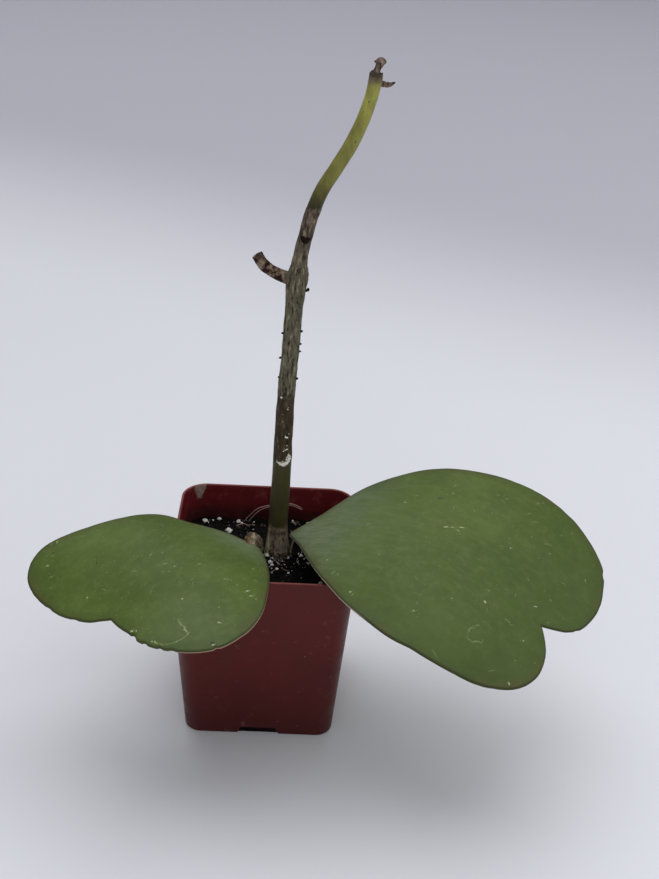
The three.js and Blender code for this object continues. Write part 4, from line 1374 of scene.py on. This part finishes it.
def left_stalk_relief(point, angle, radius):
    x, y, z = point
    if z < PLAIN_BELOW:
        return 0.0
    a, b = 0.8 * math.cos(angle), 0.8 * math.sin(angle)
    creases = abs(grain(a, b, 0.5 * (z - y), 1.2))
    return 0.45 * ring_grain(angle, 2.0, 0.3 * z - 0.25 * y, 3) - 0.35 * creases + 0.15


def right_stalk_relief(point, angle, radius):
    return 0.0 if point[2] < PLAIN_BELOW else 0.18 * ring_grain(angle, 2, 0.25 * point[2])


def make_leaves():
    scar = scar_look()
    # Painted highlights: where each margin's thin pale line starts and ends to fade, its width and tone.
    right_highlight = (0.048, 0.060, 0.28, (172, 160, 140))
    left_highlight = (0.070, 0.078, 0.16, (166, 140, 112))
    right = leaf_look("leaf_right_flesh", 0.130, 0.060, right_highlight, (0.5, 0.5), 0.0)
    left = leaf_look("leaf_left_flesh", 0.095, 0.026, left_highlight, (0.0, 0.0), 0.32)
    make_leaf(
        "leaf_right_blade", "leaf_right", RIGHT_LEAF, RIGHT_NICKS, RIGHT_MARKS, RIGHT_SCAR, 0.62,
        RIGHT_STALK_LINE, right_stalk_relief, RIGHT_STALK_RIDGE, [right, scar, shaded_stalk_look()], SEED + 2,
    )
    make_leaf(
        "leaf_left_blade", "leaf_left", LEFT_LEAF, LEFT_NICKS, LEFT_MARKS, LEFT_SCAR, 0.74,
        LEFT_STALK_LINE, left_stalk_relief, None, [left, scar, left_stalk_look()], SEED + 3,
    )


# Floor, light and camera

FRAME_HEIGHT = 879
FOCAL_PIXELS = 1320.0
SENSOR = 36.0
CAMERA_DISTANCE = 534.0
CAMERA_ELEVATION = 28.36
CAMERA_ROLL = 3.21
CAMERA_TURN = -1.49
CAMERA_TARGET = (24.6, 0.0, 128.2)
FLOOR_REACH = 2300.0
COVE_ROUND = 600.0
COVE_STEPS = 12
COVE_TOP = 1500.0
COVE_SIDES = 128
LIGHTS_AIM = (0.02, 0.0, 0.08)


def make_floor():
    """A wide flat floor that sweeps up into a wall all round, far from the plant."""
    cove = [unit(k / COVE_STEPS * math.pi / 2) for k in range(COVE_STEPS + 1)]
    profile = [(FLOOR_REACH * 0.5, 0.0)]
    profile += [(FLOOR_REACH + COVE_ROUND * s, COVE_ROUND * (1 - c)) for c, s in cove]
    profile.append((FLOOR_REACH + COVE_ROUND, COVE_TOP))
    round_about = [unit(2 * math.pi * k / COVE_SIDES) for k in range(COVE_SIDES)]
    points = [(reach * c, reach * s, height - 0.05) for reach, height in profile for c, s in round_about]
    faces = [tuple(reversed(face)) for face in loft_faces(len(profile), COVE_SIDES)]
    floor = solid("floor", points, faces + [tuple(range(COVE_SIDES))], [floor_look()])
    floor.data.shade_smooth()


def make_camera():
    data = bpy.data.cameras.new("camera")
    data.sensor_fit = "AUTO"
    data.sensor_width = SENSOR
    data.lens = FOCAL_PIXELS / FRAME_HEIGHT * SENSOR
    data.clip_start = 0.01
    data.clip_end = 20.0
    camera = placed("camera", data)
    c, s = unit(math.radians(CAMERA_ELEVATION))
    back, right = Vector((0.0, -c, s)), Vector((1.0, 0.0, 0.0))
    up = back.cross(right)
    c, s = unit(math.radians(CAMERA_ROLL))
    matrix = Matrix((c * right + s * up, -s * right + c * up, back)).transposed().to_4x4()
    matrix.translation = (Vector(CAMERA_TARGET) + CAMERA_DISTANCE * back) * MM
    camera.matrix_world = Matrix.Rotation(math.radians(CAMERA_TURN), 4, "Z") @ matrix
    bpy.context.scene.camera = camera


def aim(light, direction):
    light.rotation_euler = direction.to_track_quat("Z", "Y").to_euler()


def make_light(name, place, width, power, colour):
    data = bpy.data.lights.new(name, "AREA")
    data.shape = "RECTANGLE"
    data.size = width
    data.size_y = 0.8
    data.energy = power
    data.color = colour
    light = placed(name, data)
    light.location = place
    aim(light, Vector(place) - Vector(LIGHTS_AIM))


def make_lights():
    canopy = bpy.data.lights.new("canopy", "SUN")
    canopy.energy = 1.3
    canopy.angle = math.radians(60)
    aim(placed("canopy", canopy), Vector((0.0, 0.35, 1.0)))
    make_light("right", (0.9, 0.1, 0.9), 0.8, 2.6, (1.0, 1.0, 1.0))
    make_light("front", (0.1, -1.05, 1.0), 1.0, 2.2, (1.0, 0.99, 0.97))
    world = bpy.data.worlds.new("studio")
    world.use_nodes = True
    background = world.node_tree.nodes["Background"]
    background.inputs["Color"].default_value = (0.98, 0.99, 1.0, 1.0)
    background.inputs["Strength"].default_value = 0.26
    bpy.context.scene.world = world
    bpy.context.scene.view_settings.view_transform = "Standard"


make_camera()
make_pot()
make_soil()
make_stem()
make_leaves()
make_floor()
make_lights()
